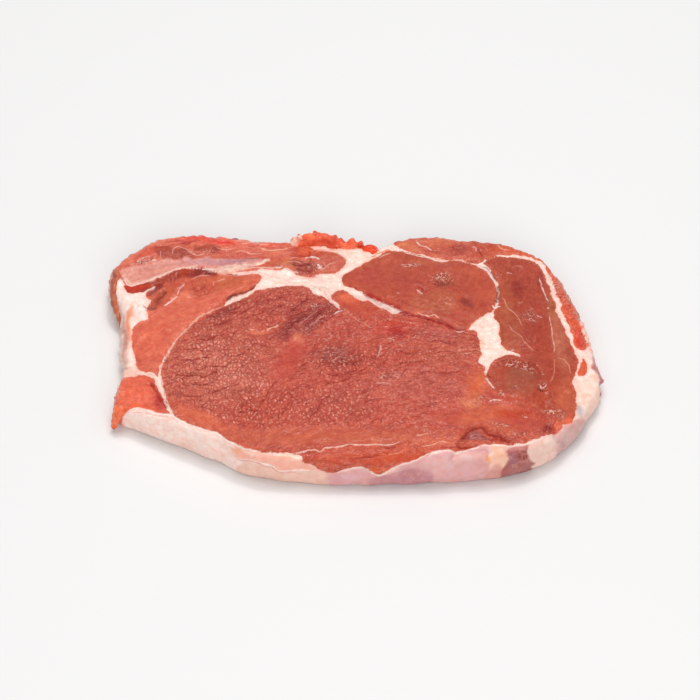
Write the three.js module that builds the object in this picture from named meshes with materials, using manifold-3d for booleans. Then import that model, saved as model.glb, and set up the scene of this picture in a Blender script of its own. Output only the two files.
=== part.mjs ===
// A beef entrecote: one raw, boneless slice across the rib, lying flat on its cut face.
// Millimetres, +Z up. The base is at z = 0, and the origin is below the middle of the slice.
// Everything is drawn from a datum in the eye of the rib, and CENTRE moves it to the origin.

import * as THREE from "three";
import { LoftGeometry } from "three/addons/geometries/LoftGeometry.js";
import { ImprovedNoise } from "three/addons/math/ImprovedNoise.js";
import { mergeVertices } from "three/addons/utils/BufferGeometryUtils.js";
import Module from "manifold-3d";

// Driving sizes

const THICKNESS = 16; // of the slice at the eye of the rib
const CENTRE = new THREE.Vector3(0.8, -9.1, 0); // middle of the slice's box
const HEART = new THREE.Vector3(0, -10, 0); // the face's rings shrink towards this point
const FACE_CELLS = { across: 66, along: 40 };
const EDGE_CROWDING = 1.2; // how strongly the face's rings crowd towards the rim
const BASE_CUT = 1; // depth below the base that is cut away to leave it flat

const MEAT = { color: 0xb9503f, roughness: 0.38, metalness: 0 };

// The outline seen from above, anticlockwise from the front left corner

const OUTLINE = [
  [-92, -43], [-86, -46.3], [-74, -52.3], [-62, -58.3], [-51, -64.2], [-41, -70],
  [-24, -74], [0, -75.5], [28, -75.2], [52, -73], [66, -69.8], [76, -65],
  [84, -58.5], [90, -50], [95, -40], [99.5, -31], [100, -20], [97.5, -7],
  [95, 4], [92.5, 14], [87.5, 28], [82, 39], [76, 45], [64, 49.5],
  [50, 51], [34, 53.3], [19, 51.5], [13, 46.5], [3, 48.5], [-5, 52],
  [-14, 53.6], [-21, 52.8], [-26, 51], [-42, 51.8], [-58, 54.6], [-70, 54.6],
  [-83, 50.3], [-92, 43.5], [-97, 35], [-98, 26], [-95, 15], [-92.5, 5],
  [-92.3, -8], [-90.5, -22], [-92.5, -32],
];

// How far round the outline each corner lies: front left, front right, rear right, rear left

const CORNERS = [0, 0.335, 0.53, 0.86, 1];

// The rim from below the base up to the face: share of the edge's height, and how far out
// of the outline it stands

const RIM_PROFILE = [[-0.1, -2.6], [0.12, -0.8], [0.45, 0.1], [0.78, 0.1], [1, -0.7]];
const RIM_CRAG = { height: 0.8, size: 9 };

// Where the face turns down to the rim: how far in it begins, and how far it drops

const EDGE = { reach: 3.2, drop: 1.7 };

// Where it turns down more: x, y, width of the stretch, further reach, further drop

const SHOULDERS = [
  { x: 12, y: -76, width: 30, reach: 5, drop: 4.2 },
  { x: -97, y: 20, width: 15, reach: 3, drop: 1.5 },
  { x: 97, y: -2, width: 26, reach: 3.5, drop: 1.8 },
];

// Heights of the face: x, y, z

const SPOT_HEIGHTS = [
  [-20, -30, THICKNESS], [35, -30, THICKNESS - 0.2], [-62, -20, THICKNESS - 0.8],
  [-45, 10, THICKNESS - 1.4], [-86, -42, 11], [-72, -47, 13.6], [-88, -15, 11.5],
  [-92, 25, 13], [-70, 45, 13.8], [-30, 42, 14.2], [-10, 52, 13], [6, 40, 14],
  [35, 22, THICKNESS + 1], [50, 46, 14.8], [74, 42, 13.2], [87, 25, 11.8],
  [94, -5, 10.6], [95, -35, 9.8], [84, -50, 12], [62, -62, 15], [30, -68, 15.2],
  [8, -72, 15], [-30, -68, 14.8], [-55, -58, 14.6], [68, -5, 15.4], [66, -35, 14.8],
];
const SPOT_SOFTNESS = 8; // a spot's pull stops growing inside this distance
const SPOT_FALL = 3; // power with which its pull falls off

// Lines on the face are drawn where they are seen from the front and above: a point that
// is lower than SEEN_HEIGHT is drawn nearer, by LEAN for each millimetre

const SEEN_HEIGHT = 15;
const LEAN = 0.91;

// Seams between the muscles. The face sinks by depth, over the width to each side, and
// stands higher by step on the left of the line's direction, dying away over STEP_REACH

const STEP_REACH = 10;
const SEAMS = [
  { name: "left of the eye", depth: 1.0, width: 2.0, step: 0.7,
    line: [[-69, -50], [-73.5, -37], [-74.6, -24], [-70, -10], [-59, 5], [-48, 15], [-37, 21]] },
  { name: "behind the eye", depth: 0.6, width: 3.2, step: 0.2,
    line: [[-38, 24], [-22, 25], [-10, 22], [-5, 14], [3, 15]] },
  { name: "front of the triangle", depth: 1.0, width: 2.4, step: 1.5,
    line: [[3, 18], [12, 14.5], [22, 9.5], [34, 3.5], [45, -4]] },
  { name: "right of the triangle", depth: 0.9, width: 2.2, step: 0.6,
    line: [[48, 1], [57, 10], [60.2, 20], [58.6, 28], [52, 34.5]] },
  { name: "behind the triangle", depth: 0.9, width: 2.2, step: 0.3,
    line: [[56, 37], [44, 37], [30, 40], [18, 46]] },
  { name: "fat wedge", depth: 0.6, width: 4, step: 0.3,
    line: [[56, 6], [56, -10], [54, -22], [54, -32]] },
  { name: "right fat seam", depth: 0.7, width: 2.2, step: -0.3,
    line: [[58, 40], [72, 39.5], [80, 33], [82, 20], [85, 5], [90, -16], [89, -31]] },
  { name: "lower edge of the rib strip", depth: 0.9, width: 2.4, step: 1.5,
    line: [[-93, 18.5], [-85, 20.5], [-76, 26.5], [-66, 29.5], [-54, 29.5], [-40, 29.5]] },
  { name: "along the rib strip", depth: 1.3, width: 3, step: 0.4,
    line: [[-92, 33], [-80, 40], [-66, 42.5], [-52, 41], [-38, 38], [-24, 35]] },
  { name: "end of the rib strip", depth: 1.1, width: 2.4, step: 0.6,
    line: [[-30, 29], [-14, 28.5], [-3, 32], [-2, 38], [-8, 44], [-20, 45.5]] },
  { name: "front left fold", depth: 0.8, width: 2.4, step: 0.9,
    line: [[-83, -29], [-78, -34], [-74.5, -41], [-70, -50]] },
  { name: "front of the eye", depth: 0.7, width: 1.8, step: 0.6,
    line: [[-45, -67], [-30, -71], [-16, -70.5], [0, -67], [20, -65]] },
  { name: "right muscle's lower end", depth: 0.8, width: 2.6, step: 0.2,
    line: [[56, -24], [66, -21.5], [75, -29], [76, -40], [77, -56]] },
];

// Clefts where one muscle has come away from the next

const CLEFTS = [
  { radius: 1.5, line: [[4, 18], [12, 14.8], [22, 9.3], [34, 3.4], [45.5, -4.5]] },
  { radius: 1.3, line: [[51, 35.5], [57, 32.5], [60, 25], [60.3, 17], [58.5, 10.5]] },
  { radius: 1.9, line: [[-94, 18.5], [-85, 19.2], [-78, 23.5], [-70, 28.2], [-59, 29.4], [-46, 29.2]] },
  { radius: 1.6, line: [[-82.5, -29], [-77.5, -36], [-74, -42.5], [-70, -50]] },
  { radius: 1.1, line: [[-83.5, 13], [-81.5, 19], [-78, 24]] },
  { radius: 1.1, line: [[-81.5, 8.5], [-79, 14], [-76, 20]] },
  { radius: 1.2, line: [[-87, -13], [-85.5, -19], [-83, -25]] },
];
const ROD = { stations: 12, sides: 6, thinnest: 0.15 };

// Hollows in the face, and swellings where the depth is below zero

const HOLLOWS = [
  { x: 53, y: -61.5, length: 9, width: 3.2, depth: 2.4 },
  { x: 76.5, y: -56, length: 4, width: 3.6, depth: 1.8 },
  { x: 36.5, y: 28, length: 5, width: 3.2, depth: 1.1 },
  { x: 47, y: 10.5, length: 2.6, width: 3.6, depth: 0.9 },
  { x: 19, y: -5, length: 6.5, width: 5.5, depth: 0.7 },
  { x: 76, y: -35, length: 2.6, width: 2.4, depth: 1.3 },
  { x: -11.3, y: 20, length: 2.6, width: 2.4, depth: 1.2 },
  { x: 66, y: -22, length: 9, width: 2.6, depth: -0.8 },
  { x: -84, y: -39, length: 5, width: 6, depth: -1.2 },
  { x: -11, y: 36, length: 7, width: 5, depth: -0.9 },
];

// Torn scraps on the rim: x, y, z of the middle, and half the length, width and height

const SCRAPS = [
  [-18, 51.6, 10, 6.6, 4.8, 4.6], [-10.5, 52.6, 10, 6.6, 4.8, 5], [-4, 50.6, 9.6, 5.2, 4.2, 4.6],
  [2, 48.6, 9.4, 4.6, 4, 4.4], [7.6, 46.8, 9.6, 5.2, 4.4, 4.8], [-48, 52.4, 10.6, 3, 2.2, 2.4],
  [-95.4, 20, 8, 3.4, 10.5, 5], [-93.4, 8, 6.6, 2.6, 8.5, 4.4], [-90.8, -42.4, 5.6, 2.8, 3.6, 5.6],
];
const BALL = { around: 12, up: 8 };
const SCRAP_CRAG = { height: 0.35, size: 3.2 }; // the height is a share of the scrap's radius

// Unevenness of the face: height and size of the bumps

const FACE_CRAGS = [{ height: 0.4, size: 10 }, { height: 0.35, size: 5 }];

const wasm = await Module();
wasm.setup();
const noise = new ImprovedNoise();

// Small tools

function crag(point, { height, size }) {
  return height * noise.noise(point.x / size, point.y / size, point.z / size);
}

function curveThrough(points, closed) {
  const knots = points.map(([x, y]) => new THREE.Vector3(x, y, 0));
  const curve = new THREE.CatmullRomCurve3(knots, closed, "centripetal");
  curve.arcLengthDivisions = 40 * knots.length;
  return curve;
}

// The distance from a point to a chain of points: above zero on the chain's left
function signedDistance(chain, x, y) {
  let nearest = Infinity;
  for (let i = 0; i + 1 < chain.length; i++) {
    const a = chain[i];
    const dx = chain[i + 1].x - a.x;
    const dy = chain[i + 1].y - a.y;
    const along = ((x - a.x) * dx + (y - a.y) * dy) / (dx * dx + dy * dy);
    const t = THREE.MathUtils.clamp(along, 0, 1);
    const distance = Math.hypot(x - a.x - t * dx, y - a.y - t * dy);
    const side = Math.sign(dx * (y - a.y) - dy * (x - a.x)) || 1;
    if (distance < Math.abs(nearest)) nearest = side * distance;
  }
  return nearest;
}

// Height of the face

const seams = SEAMS.map((seam) => ({ ...seam, chain: curveThrough(seam.line, false).getPoints(24) }));

// The height before any relief, from the spot heights around the point
function slabHeight(x, y) {
  let sum = 0;
  let pulls = 0;
  for (const [spotX, spotY, spotZ] of SPOT_HEIGHTS) {
    const pull = Math.hypot(x - spotX, y - spotY, SPOT_SOFTNESS) ** -SPOT_FALL;
    sum += pull * spotZ;
    pulls += pull;
  }
  return sum / pulls;
}

function seamRelief(x, seenY) {
  let relief = 0;
  for (const { chain, depth, width, step } of seams) {
    const signed = signedDistance(chain, x, seenY);
    const distance = Math.abs(signed);
    const stand = THREE.MathUtils.smoothstep(distance, 0, width) * Math.exp(-distance / STEP_REACH);
    relief += (Math.sign(signed) * step * stand) / 2 - depth * Math.exp(-((distance / width) ** 2));
  }
  return relief;
}

function hollowRelief(x, seenY) {
  return HOLLOWS.reduce((sum, hollow) => {
    const away = Math.hypot((x - hollow.x) / hollow.length, (seenY - hollow.y) / hollow.width);
    return sum - hollow.depth * Math.exp(-(away ** 2));
  }, 0);
}

// How far the face has dropped at a distance inside the rim
function edgeDrop(x, y, inside) {
  let { reach, drop } = EDGE;
  for (const shoulder of SHOULDERS) {
    const away = Math.hypot(x - shoulder.x, y - shoulder.y) / shoulder.width;
    reach += shoulder.reach * Math.exp(-(away ** 2));
    drop += shoulder.drop * Math.exp(-(away ** 2));
  }
  const nearness = THREE.MathUtils.clamp(1 - inside / reach, 0, 1);
  return drop * (1 - Math.sqrt(1 - nearness ** 2));
}

function faceHeight(x, y, inside) {
  const slab = slabHeight(x, y);
  const seenY = y + LEAN * (slab - SEEN_HEIGHT);
  const bumps = FACE_CRAGS.reduce((sum, bump) => sum + crag({ x, y, z: bump.size }, bump), 0);
  return slab + seamRelief(x, seenY) + hollowRelief(x, seenY) + bumps - edgeDrop(x, y, inside);
}

// The point of the face that is seen at a drawn point
function onFace(x, seenY) {
  const y = seenY + LEAN * (SEEN_HEIGHT - slabHeight(x, seenY));
  return new THREE.Vector3(x, y, faceHeight(x, y, Infinity));
}

// The slice is a box of small cells, whose points are moved onto the slice's skin.
// Across the box u and v run from -1 to 1, and level counts the steps of RIM_PROFILE

const outline = curveThrough(OUTLINE, true);
const TOP_LEVEL = RIM_PROFILE.length - 1;
const TOP_GROUP = 4; // of the six sides of a BoxGeometry

// How far round the outline the point on the box's edge goes that is outward of u, v
function shareRound(u, v) {
  const sides = [[-v, u], [u, v], [v, -u], [-u, -v]];
  const farthest = Math.max(Math.abs(u), Math.abs(v));
  const side = sides.findIndex(([across]) => across === farthest);
  const [across, along] = sides[side];
  return THREE.MathUtils.lerp(CORNERS[side], CORNERS[side + 1], (along / across + 1) / 2) % 1;
}

function rimPoint(share, level) {
  const round = outline.getPointAt(share);
  const along = outline.getTangentAt(share);
  const outward = new THREE.Vector3(along.y, -along.x, 0);
  const top = round.clone().addScaledVector(outward, RIM_PROFILE[TOP_LEVEL][1]);
  const [rise, out] = RIM_PROFILE[level];
  const point = round.setZ(rise * faceHeight(top.x, top.y, 0));
  point.addScaledVector(outward, out + crag(point, RIM_CRAG));
  return { point, outward };
}

function place(u, v, level) {
  const ring = Math.max(Math.abs(u), Math.abs(v));
  if (ring === 0) return onLevel(HEART.clone(), Infinity, level);
  const { point, outward } = rimPoint(shareRound(u, v), level);
  if (ring === 1) return point;
  const spread = Math.sin(ring * EDGE_CROWDING) / Math.sin(EDGE_CROWDING);
  const placed = HEART.clone().lerp(point, spread);
  return onLevel(placed, point.sub(placed).dot(outward), level);
}

function onLevel(point, inside, level) {
  return point.setZ(level === TOP_LEVEL ? faceHeight(point.x, point.y, inside) : -BASE_CUT);
}

// Each cell is split along the diagonal that follows the skin more closely
function splitOf([a, b, c, d], middle) {
  const offAC = a.clone().add(c).divideScalar(2).distanceTo(middle);
  const offBD = b.clone().add(d).divideScalar(2).distanceTo(middle);
  return offAC < offBD ? [0, 1, 2, 0, 2, 3] : [0, 1, 3, 1, 2, 3];
}

function sliceBox() {
  const { across, along } = FACE_CELLS;
  const box = new THREE.BoxGeometry(2, 2, TOP_LEVEL, across, along, TOP_LEVEL);
  const points = box.translate(0, 0, TOP_LEVEL / 2).getAttribute("position");
  const cells = Array.from({ length: points.count }, (_, i) =>
    new THREE.Vector3().fromBufferAttribute(points, i),
  );
  const skin = cells.map(({ x, y, z }) => place(x, y, Math.round(z)));
  const index = box.getIndex();
  const { start, count } = box.groups[TOP_GROUP];
  for (let i = start; i < start + count; i += 6) {
    const corners = [i, i + 1, i + 4, i + 2].map((k) => index.getX(k));
    const middle = cells[corners[0]].clone().add(cells[corners[2]]).divideScalar(2);
    const split = splitOf(corners.map((k) => skin[k]), place(middle.x, middle.y, TOP_LEVEL));
    split.forEach((corner, k) => index.setX(i + k, corners[corner]));
  }
  skin.forEach(({ x, y, z }, i) => points.setXYZ(i, x, y, z));
  return box;
}

// A scrap is a ball drawn out to three half sizes, with an uneven skin
function scrap([x, y, z, ...halves]) {
  const centre = new THREE.Vector3(x, y, z);
  const sphere = new THREE.SphereGeometry(1, BALL.around, BALL.up);
  const points = sphere.getAttribute("position");
  for (let i = 0; i < points.count; i++) {
    const offset = new THREE.Vector3().fromBufferAttribute(points, i);
    offset.multiply(new THREE.Vector3(...halves));
    offset.multiplyScalar(1 + crag(offset.clone().add(centre), SCRAP_CRAG));
    points.setXYZ(i, ...offset.add(centre));
  }
  return sphere;
}

// A cleft is cut by a round rod along its line, thinned towards both ends
function cleft({ radius, line }) {
  const curve = curveThrough(line, false);
  const sections = Array.from({ length: ROD.stations + 1 }, (_, i) => {
    const share = i / ROD.stations;
    const seen = curve.getPointAt(share);
    const along = curve.getTangentAt(share);
    const across = new THREE.Vector3(-along.y, along.x, 0);
    const thinned = Math.max(ROD.thinnest, Math.sqrt(Math.sin(Math.PI * share)));
    return circle(onFace(seen.x, seen.y), across, radius * thinned);
  });
  return new LoftGeometry(sections, { capStart: true, capEnd: true });
}

function circle(centre, across, radius) {
  return Array.from({ length: ROD.sides }, (_, i) => {
    const turn = (2 * Math.PI * i) / ROD.sides;
    const point = centre.clone().addScaledVector(across, radius * Math.cos(turn));
    return point.setZ(point.z + radius * Math.sin(turn));
  });
}

// Everything below the base, which is cut away so that the slice lies flat
function belowBase() {
  const plan = new THREE.Box3().setFromPoints(outline.getPoints(OUTLINE.length));
  const { x, y } = plan.getSize(new THREE.Vector3());
  const block = new THREE.BoxGeometry(2 * x, 2 * y, 2 * THICKNESS);
  return block.translate(0, 0, -THICKNESS);
}

// From three.js geometry to a solid, and back

function toSolid(geometry) {
  const bare = new THREE.BufferGeometry();
  bare.setAttribute("position", geometry.getAttribute("position"));
  bare.setIndex(geometry.getIndex());
  const merged = mergeVertices(bare, 1e-3);
  return new wasm.Manifold(new wasm.Mesh({
    numProp: 3,
    vertProperties: merged.getAttribute("position").array,
    triVerts: new Uint32Array(merged.getIndex().array),
  }));
}

function toGeometry(solid) {
  const { vertProperties, triVerts } = solid.getMesh();
  const geometry = new THREE.BufferGeometry();
  geometry.setAttribute("position", new THREE.BufferAttribute(vertProperties, 3));
  geometry.setIndex(new THREE.BufferAttribute(triVerts, 1));
  geometry.computeVertexNormals();
  return geometry;
}

function entrecote() {
  let solid = toSolid(sliceBox());
  for (const size of SCRAPS) solid = solid.add(toSolid(scrap(size)));
  for (const size of CLEFTS) solid = solid.subtract(toSolid(cleft(size)));
  solid = solid.subtract(toSolid(belowBase()));
  const mesh = new THREE.Mesh(toGeometry(solid), new THREE.MeshStandardMaterial(MEAT));
  mesh.name = "entrecote";
  mesh.position.copy(CENTRE).negate();
  return mesh;
}

const steak = new THREE.Group();
steak.add(entrecote());

export default steak;
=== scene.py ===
"""A raw beef entrecote: one boneless slice across the rib, lying flat on its cut face.

The slice is drawn in millimetres from a datum in the eye of the rib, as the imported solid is.
Muscles, fat, lines and seams are drawn where the camera sees them on a face 15 mm high, and
every point of the skin has such a drawn place, so one drawing dresses the face, side and base.
"""

import itertools
import logging
import math
from collections.abc import Sequence
from dataclasses import dataclass, field
from enum import Enum

import bmesh
import bpy
import numpy as np
from mathutils import Matrix, Vector

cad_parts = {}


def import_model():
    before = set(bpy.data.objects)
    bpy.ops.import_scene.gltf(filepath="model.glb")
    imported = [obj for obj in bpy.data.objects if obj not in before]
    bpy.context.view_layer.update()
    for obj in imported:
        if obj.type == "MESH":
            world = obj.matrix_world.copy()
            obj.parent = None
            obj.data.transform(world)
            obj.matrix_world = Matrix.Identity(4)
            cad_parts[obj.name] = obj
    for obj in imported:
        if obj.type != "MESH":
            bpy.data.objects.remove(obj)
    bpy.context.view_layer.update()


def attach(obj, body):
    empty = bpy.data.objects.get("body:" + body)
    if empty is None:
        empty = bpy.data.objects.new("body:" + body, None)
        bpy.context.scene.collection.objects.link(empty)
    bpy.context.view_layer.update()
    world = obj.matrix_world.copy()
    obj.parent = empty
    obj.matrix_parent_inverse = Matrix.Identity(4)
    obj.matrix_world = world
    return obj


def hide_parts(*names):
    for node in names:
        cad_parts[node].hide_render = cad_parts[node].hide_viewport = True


Line = Sequence[tuple[float, float]]
Array = np.ndarray

LOG = logging.getLogger("entrecote")
MM = 0.001
CENTRE = np.array([0.8, -9.1])  # middle of the slice's box in the drawing
SEEN_HEIGHT = 15.0  # height at which drawn and real places are the same
LEAN = 0.91  # how much nearer a point is seen for each millimetre that it lies lower
GLOSS_SHARE = 0.038  # of white light that the wet skin throws back
FAR = 12.0  # distance beyond which nothing drawn is felt
TAPER = 0.12  # share of a line at each end over which it runs out
SETTLE = 8.0  # distance over which the skin beside a step sinks back

CREAM, WHITE, LILAC = "#fbe3d6", "#fdeee8", "#e0b9bb"
MAROON, BLOOD = "#7c2622", "#b3261d"


# Drawing tools


def drawn(*numbers: float) -> Line:
    """Pairs numbers up into drawn points: x and y of the first, x and y of the next."""
    return tuple(zip(numbers[::2], numbers[1::2]))


def curve_through(points: Line, closed: bool, steps: int) -> Array:
    """Runs a smooth centripetal curve through drawn points.

    Args:
        points: The points in order.
        closed: Whether the curve returns to its first point.
        steps: Pieces between one point and the next.

    Returns:
        The points of the finer chain, one row each.
    """
    knots = np.asarray(points, float)
    if closed:
        knots = np.vstack([knots[-1], knots, knots[:2]])
    else:
        knots = np.vstack([2 * knots[0] - knots[1], knots, 2 * knots[-1] - knots[-2]])
    pieces = []
    for a, b, c, d in zip(knots[:-3], knots[1:-2], knots[2:-1], knots[3:]):
        gaps = [math.dist(a, b) ** 0.5, math.dist(b, c) ** 0.5, math.dist(c, d) ** 0.5]
        t0, t1, t2, t3 = np.cumsum([0.0, *gaps])
        t = np.linspace(t1, t2, steps, endpoint=False)[:, None]
        ab = ((t1 - t) * a + (t - t0) * b) / (t1 - t0)
        bc = ((t2 - t) * b + (t - t1) * c) / (t2 - t1)
        cd = ((t3 - t) * c + (t - t2) * d) / (t3 - t2)
        abc = ((t2 - t) * ab + (t - t0) * bc) / (t2 - t0)
        bcd = ((t3 - t) * bc + (t - t1) * cd) / (t3 - t1)
        pieces.append(((t2 - t) * abc + (t - t1) * bcd) / (t2 - t1))
    return np.vstack([*pieces, knots[-2]])


def smooth(value: Array, low: float, high: float) -> Array:
    """Rises smoothly from 0 at low to 1 at high."""
    t = np.clip((value - low) / (high - low), 0, 1)
    return t * t * (3 - 2 * t)


class Unevenness:
    """Smooth seeded noise on a lattice, the same on every run."""

    def __init__(self, seed: int, size: int = 512) -> None:
        """Draws a way for each lattice point, and the order in which they are met."""
        random = np.random.default_rng(seed)
        ways = random.normal(size=(size, 3))
        self.ways = ways / np.linalg.norm(ways, axis=1)[:, None]
        self.order = random.permutation(size)
        self.size = size

    def at(self, spread: Array) -> Array:
        """The noise, from about -1 to 1, at points that lie one unit apart for one lump."""
        cell = np.floor(spread).astype(int)
        part = spread - cell
        fade = part**3 * (part * (part * 6 - 15) + 10)
        total = np.zeros(len(spread))
        for corner in itertools.product((0, 1), repeat=3):
            met = np.zeros(len(spread), int)
            for axis in range(3):
                met = self.order[(met + cell[:, axis] + corner[axis]) % self.size]
            weight = np.prod(np.where(corner, fade, 1 - fade), axis=1)
            total += weight * np.sum(self.ways[met] * (part - corner), axis=1)
        return 1.5 * total


UNEVEN = Unevenness(seed=7)


def lumps(where: Array, size: float, layer: float = 0.0) -> Array:
    """Makes smooth unevenness.

    Args:
        where: Points of two or three coordinates, one row each.
        size: Distance over which the unevenness changes.
        layer: Picks another unevenness of the same size.

    Returns:
        A value from about -1 to 1 for each point.
    """
    spread = np.full((len(where), 3), layer)
    spread[:, : where.shape[1]] += where / size
    return UNEVEN.at(spread)


def warped(where: Array, size: float, reach: float) -> Array:
    """Moves flat points about a little, so that what is drawn there gets a natural edge."""
    shift = np.column_stack([lumps(where, size, 11.3), lumps(where, size, 27.9)])
    return where + reach * shift


def linear(tone: str) -> tuple[float, float, float]:
    """Turns a tone such as "#c8604f" into linear red, green and blue."""
    channels = [int(tone[i : i + 2], 16) / 255 for i in (1, 3, 5)]
    return tuple(c / 12.92 if c <= 0.04045 else ((c + 0.055) / 1.055) ** 2.4 for c in channels)


def under_gloss(tone: str) -> tuple[float, float, float]:
    """The linear colour below a wet skin, whose white gloss makes up the rest of the tone."""
    return tuple(max(c - GLOSS_SHARE, 0.004) / (1 - GLOSS_SHARE) for c in linear(tone))


def beside(chain: Array, where: Array, reach: float) -> Array:
    """Finds the flat points that may lie within reach of a chain."""
    low, high = chain.min(axis=0) - reach, chain.max(axis=0) + reach
    return np.flatnonzero(np.all((where > low) & (where < high), axis=1))


def distance_to(chain: Array, where: Array) -> tuple[Array, Array]:
    """Measures how far flat points are from a chain.

    Args:
        chain: The chain's points, one row each.
        where: The points to measure, one row each.

    Returns:
        The distance, above zero on the chain's left, and the share of the chain's length
        at which the nearest point of it lies.
    """
    lengths = np.hypot(*np.diff(chain, axis=0).T)
    starts = np.concatenate([[0.0], np.cumsum(lengths)])
    nearest = np.full(len(where), np.inf)
    share = np.zeros(len(where))
    for a, b, start, length in zip(chain[:-1], chain[1:], starts, lengths):
        if length == 0:
            continue
        along = (b - a) / length
        offset = where - a
        travel = np.clip(offset @ along, 0, length)
        gap = np.hypot(offset[:, 0] - travel * along[0], offset[:, 1] - travel * along[1])
        side = np.where(along[0] * offset[:, 1] - along[1] * offset[:, 0] < 0, -1.0, 1.0)
        closer = gap < np.abs(nearest)
        nearest = np.where(closer, side * gap, nearest)
        share = np.where(closer, (start + travel) / starts[-1], share)
    return nearest, share


def depth_inside(outline: Line, where: Array, steps: int = 4) -> Array:
    """Measures how deep flat points lie inside a drawn outline, below zero outside it."""
    chain = curve_through(outline, True, steps)
    depth = np.full(len(where), -FAR)
    near = beside(chain, where, FAR)
    gap = np.abs(distance_to(chain, where[near])[0])
    x, y = where[near].T
    inside = np.zeros(len(near), bool)
    for a, b in zip(chain[:-1], chain[1:]):
        if a[1] != b[1]:
            crossed = (a[1] > y) != (b[1] > y)
            inside ^= crossed & (x < a[0] + (y - a[1]) * (b[0] - a[0]) / (b[1] - a[1]))
    depth[near] = np.where(inside, gap, np.maximum(-gap, -FAR))
    return depth


# What is drawn on the skin


@dataclass(frozen=True)
class Muscle:
    """One muscle of the slice, where the face cuts through it, crumpled from 0 to 1."""

    name: str
    tone: str
    crinkle: float
    outline: Line


@dataclass(frozen=True)
class Stroke:
    """A thin drawn line: its width in its middle, its tone, and how far it stands up.

    A pale line stands up: a strand of tissue, and some pale lines are highlights painted along
    wet ridges and edges. A dark line has a rise below zero: a crack or dark tissue, and some dark
    lines are shade painted in clefts, grooves, pits and pockets.
    """

    width: float
    tone: str
    rise: float
    line: Line


@dataclass(frozen=True)
class Seam:
    """A line along which the skin sinks, and stands higher by step on the line's left."""

    depth: float
    width: float
    step: float
    line: Line

    def relief(self, where: Array) -> Array:
        """How far the seam raises the skin at drawn places."""
        chain = curve_through(self.line, False, 6)
        raised = np.zeros(len(where))
        near = beside(chain, where, FAR)
        signed, share = distance_to(chain, where[near])
        gap = np.abs(signed)
        ends = smooth(np.minimum(share, 1 - share), -0.01, TAPER)
        fade = smooth(gap, FAR, 0.6 * FAR)
        stand = smooth(gap, 0, self.width) * np.exp(-gap / SETTLE) * np.sign(signed) * fade
        raised[near] = self.step * stand / 2 - self.depth * ends * np.exp(-((gap / self.width) ** 2))
        return raised


@dataclass(frozen=True)
class Spot:
    """A round patch: middle, half length and half width, its turn in degrees, and its value."""

    x: float
    y: float
    length: float
    width: float
    turn: float
    value: float | str
    strength: float = 1.0

    def cover(self, where: Array) -> Array:
        """How much of each drawn place the patch covers, from 0 to its strength."""
        angle = math.radians(self.turn)
        dx, dy = (where - (self.x, self.y)).T
        along = (dx * math.cos(angle) + dy * math.sin(angle)) / self.length
        across = (dy * math.cos(angle) - dx * math.sin(angle)) / self.width
        return self.strength * np.exp(-((along**2 + across**2) ** 1.5))


@dataclass(frozen=True)
class Block:
    """A patch with a drawn outline and a soft edge."""

    outline: Line
    value: float | str
    strength: float = 1.0
    softness: float = 0.6

    def cover(self, where: Array) -> Array:
        """How much of each drawn place the patch covers, from 0 to its strength."""
        depth = depth_inside(self.outline, where)
        return self.strength * smooth(depth, -self.softness, self.softness)


@dataclass(frozen=True)
class Run:
    """The way that the fibres run at a place, in degrees, felt as far as reach."""

    x: float
    y: float
    turn: float
    reach: float = 14.0


def patchwork(*rows: Block | tuple) -> list[Spot | Block]:
    """Makes spots of the rows of numbers among some blocks."""
    return [row if isinstance(row, Block) else Spot(*row) for row in rows]


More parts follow.
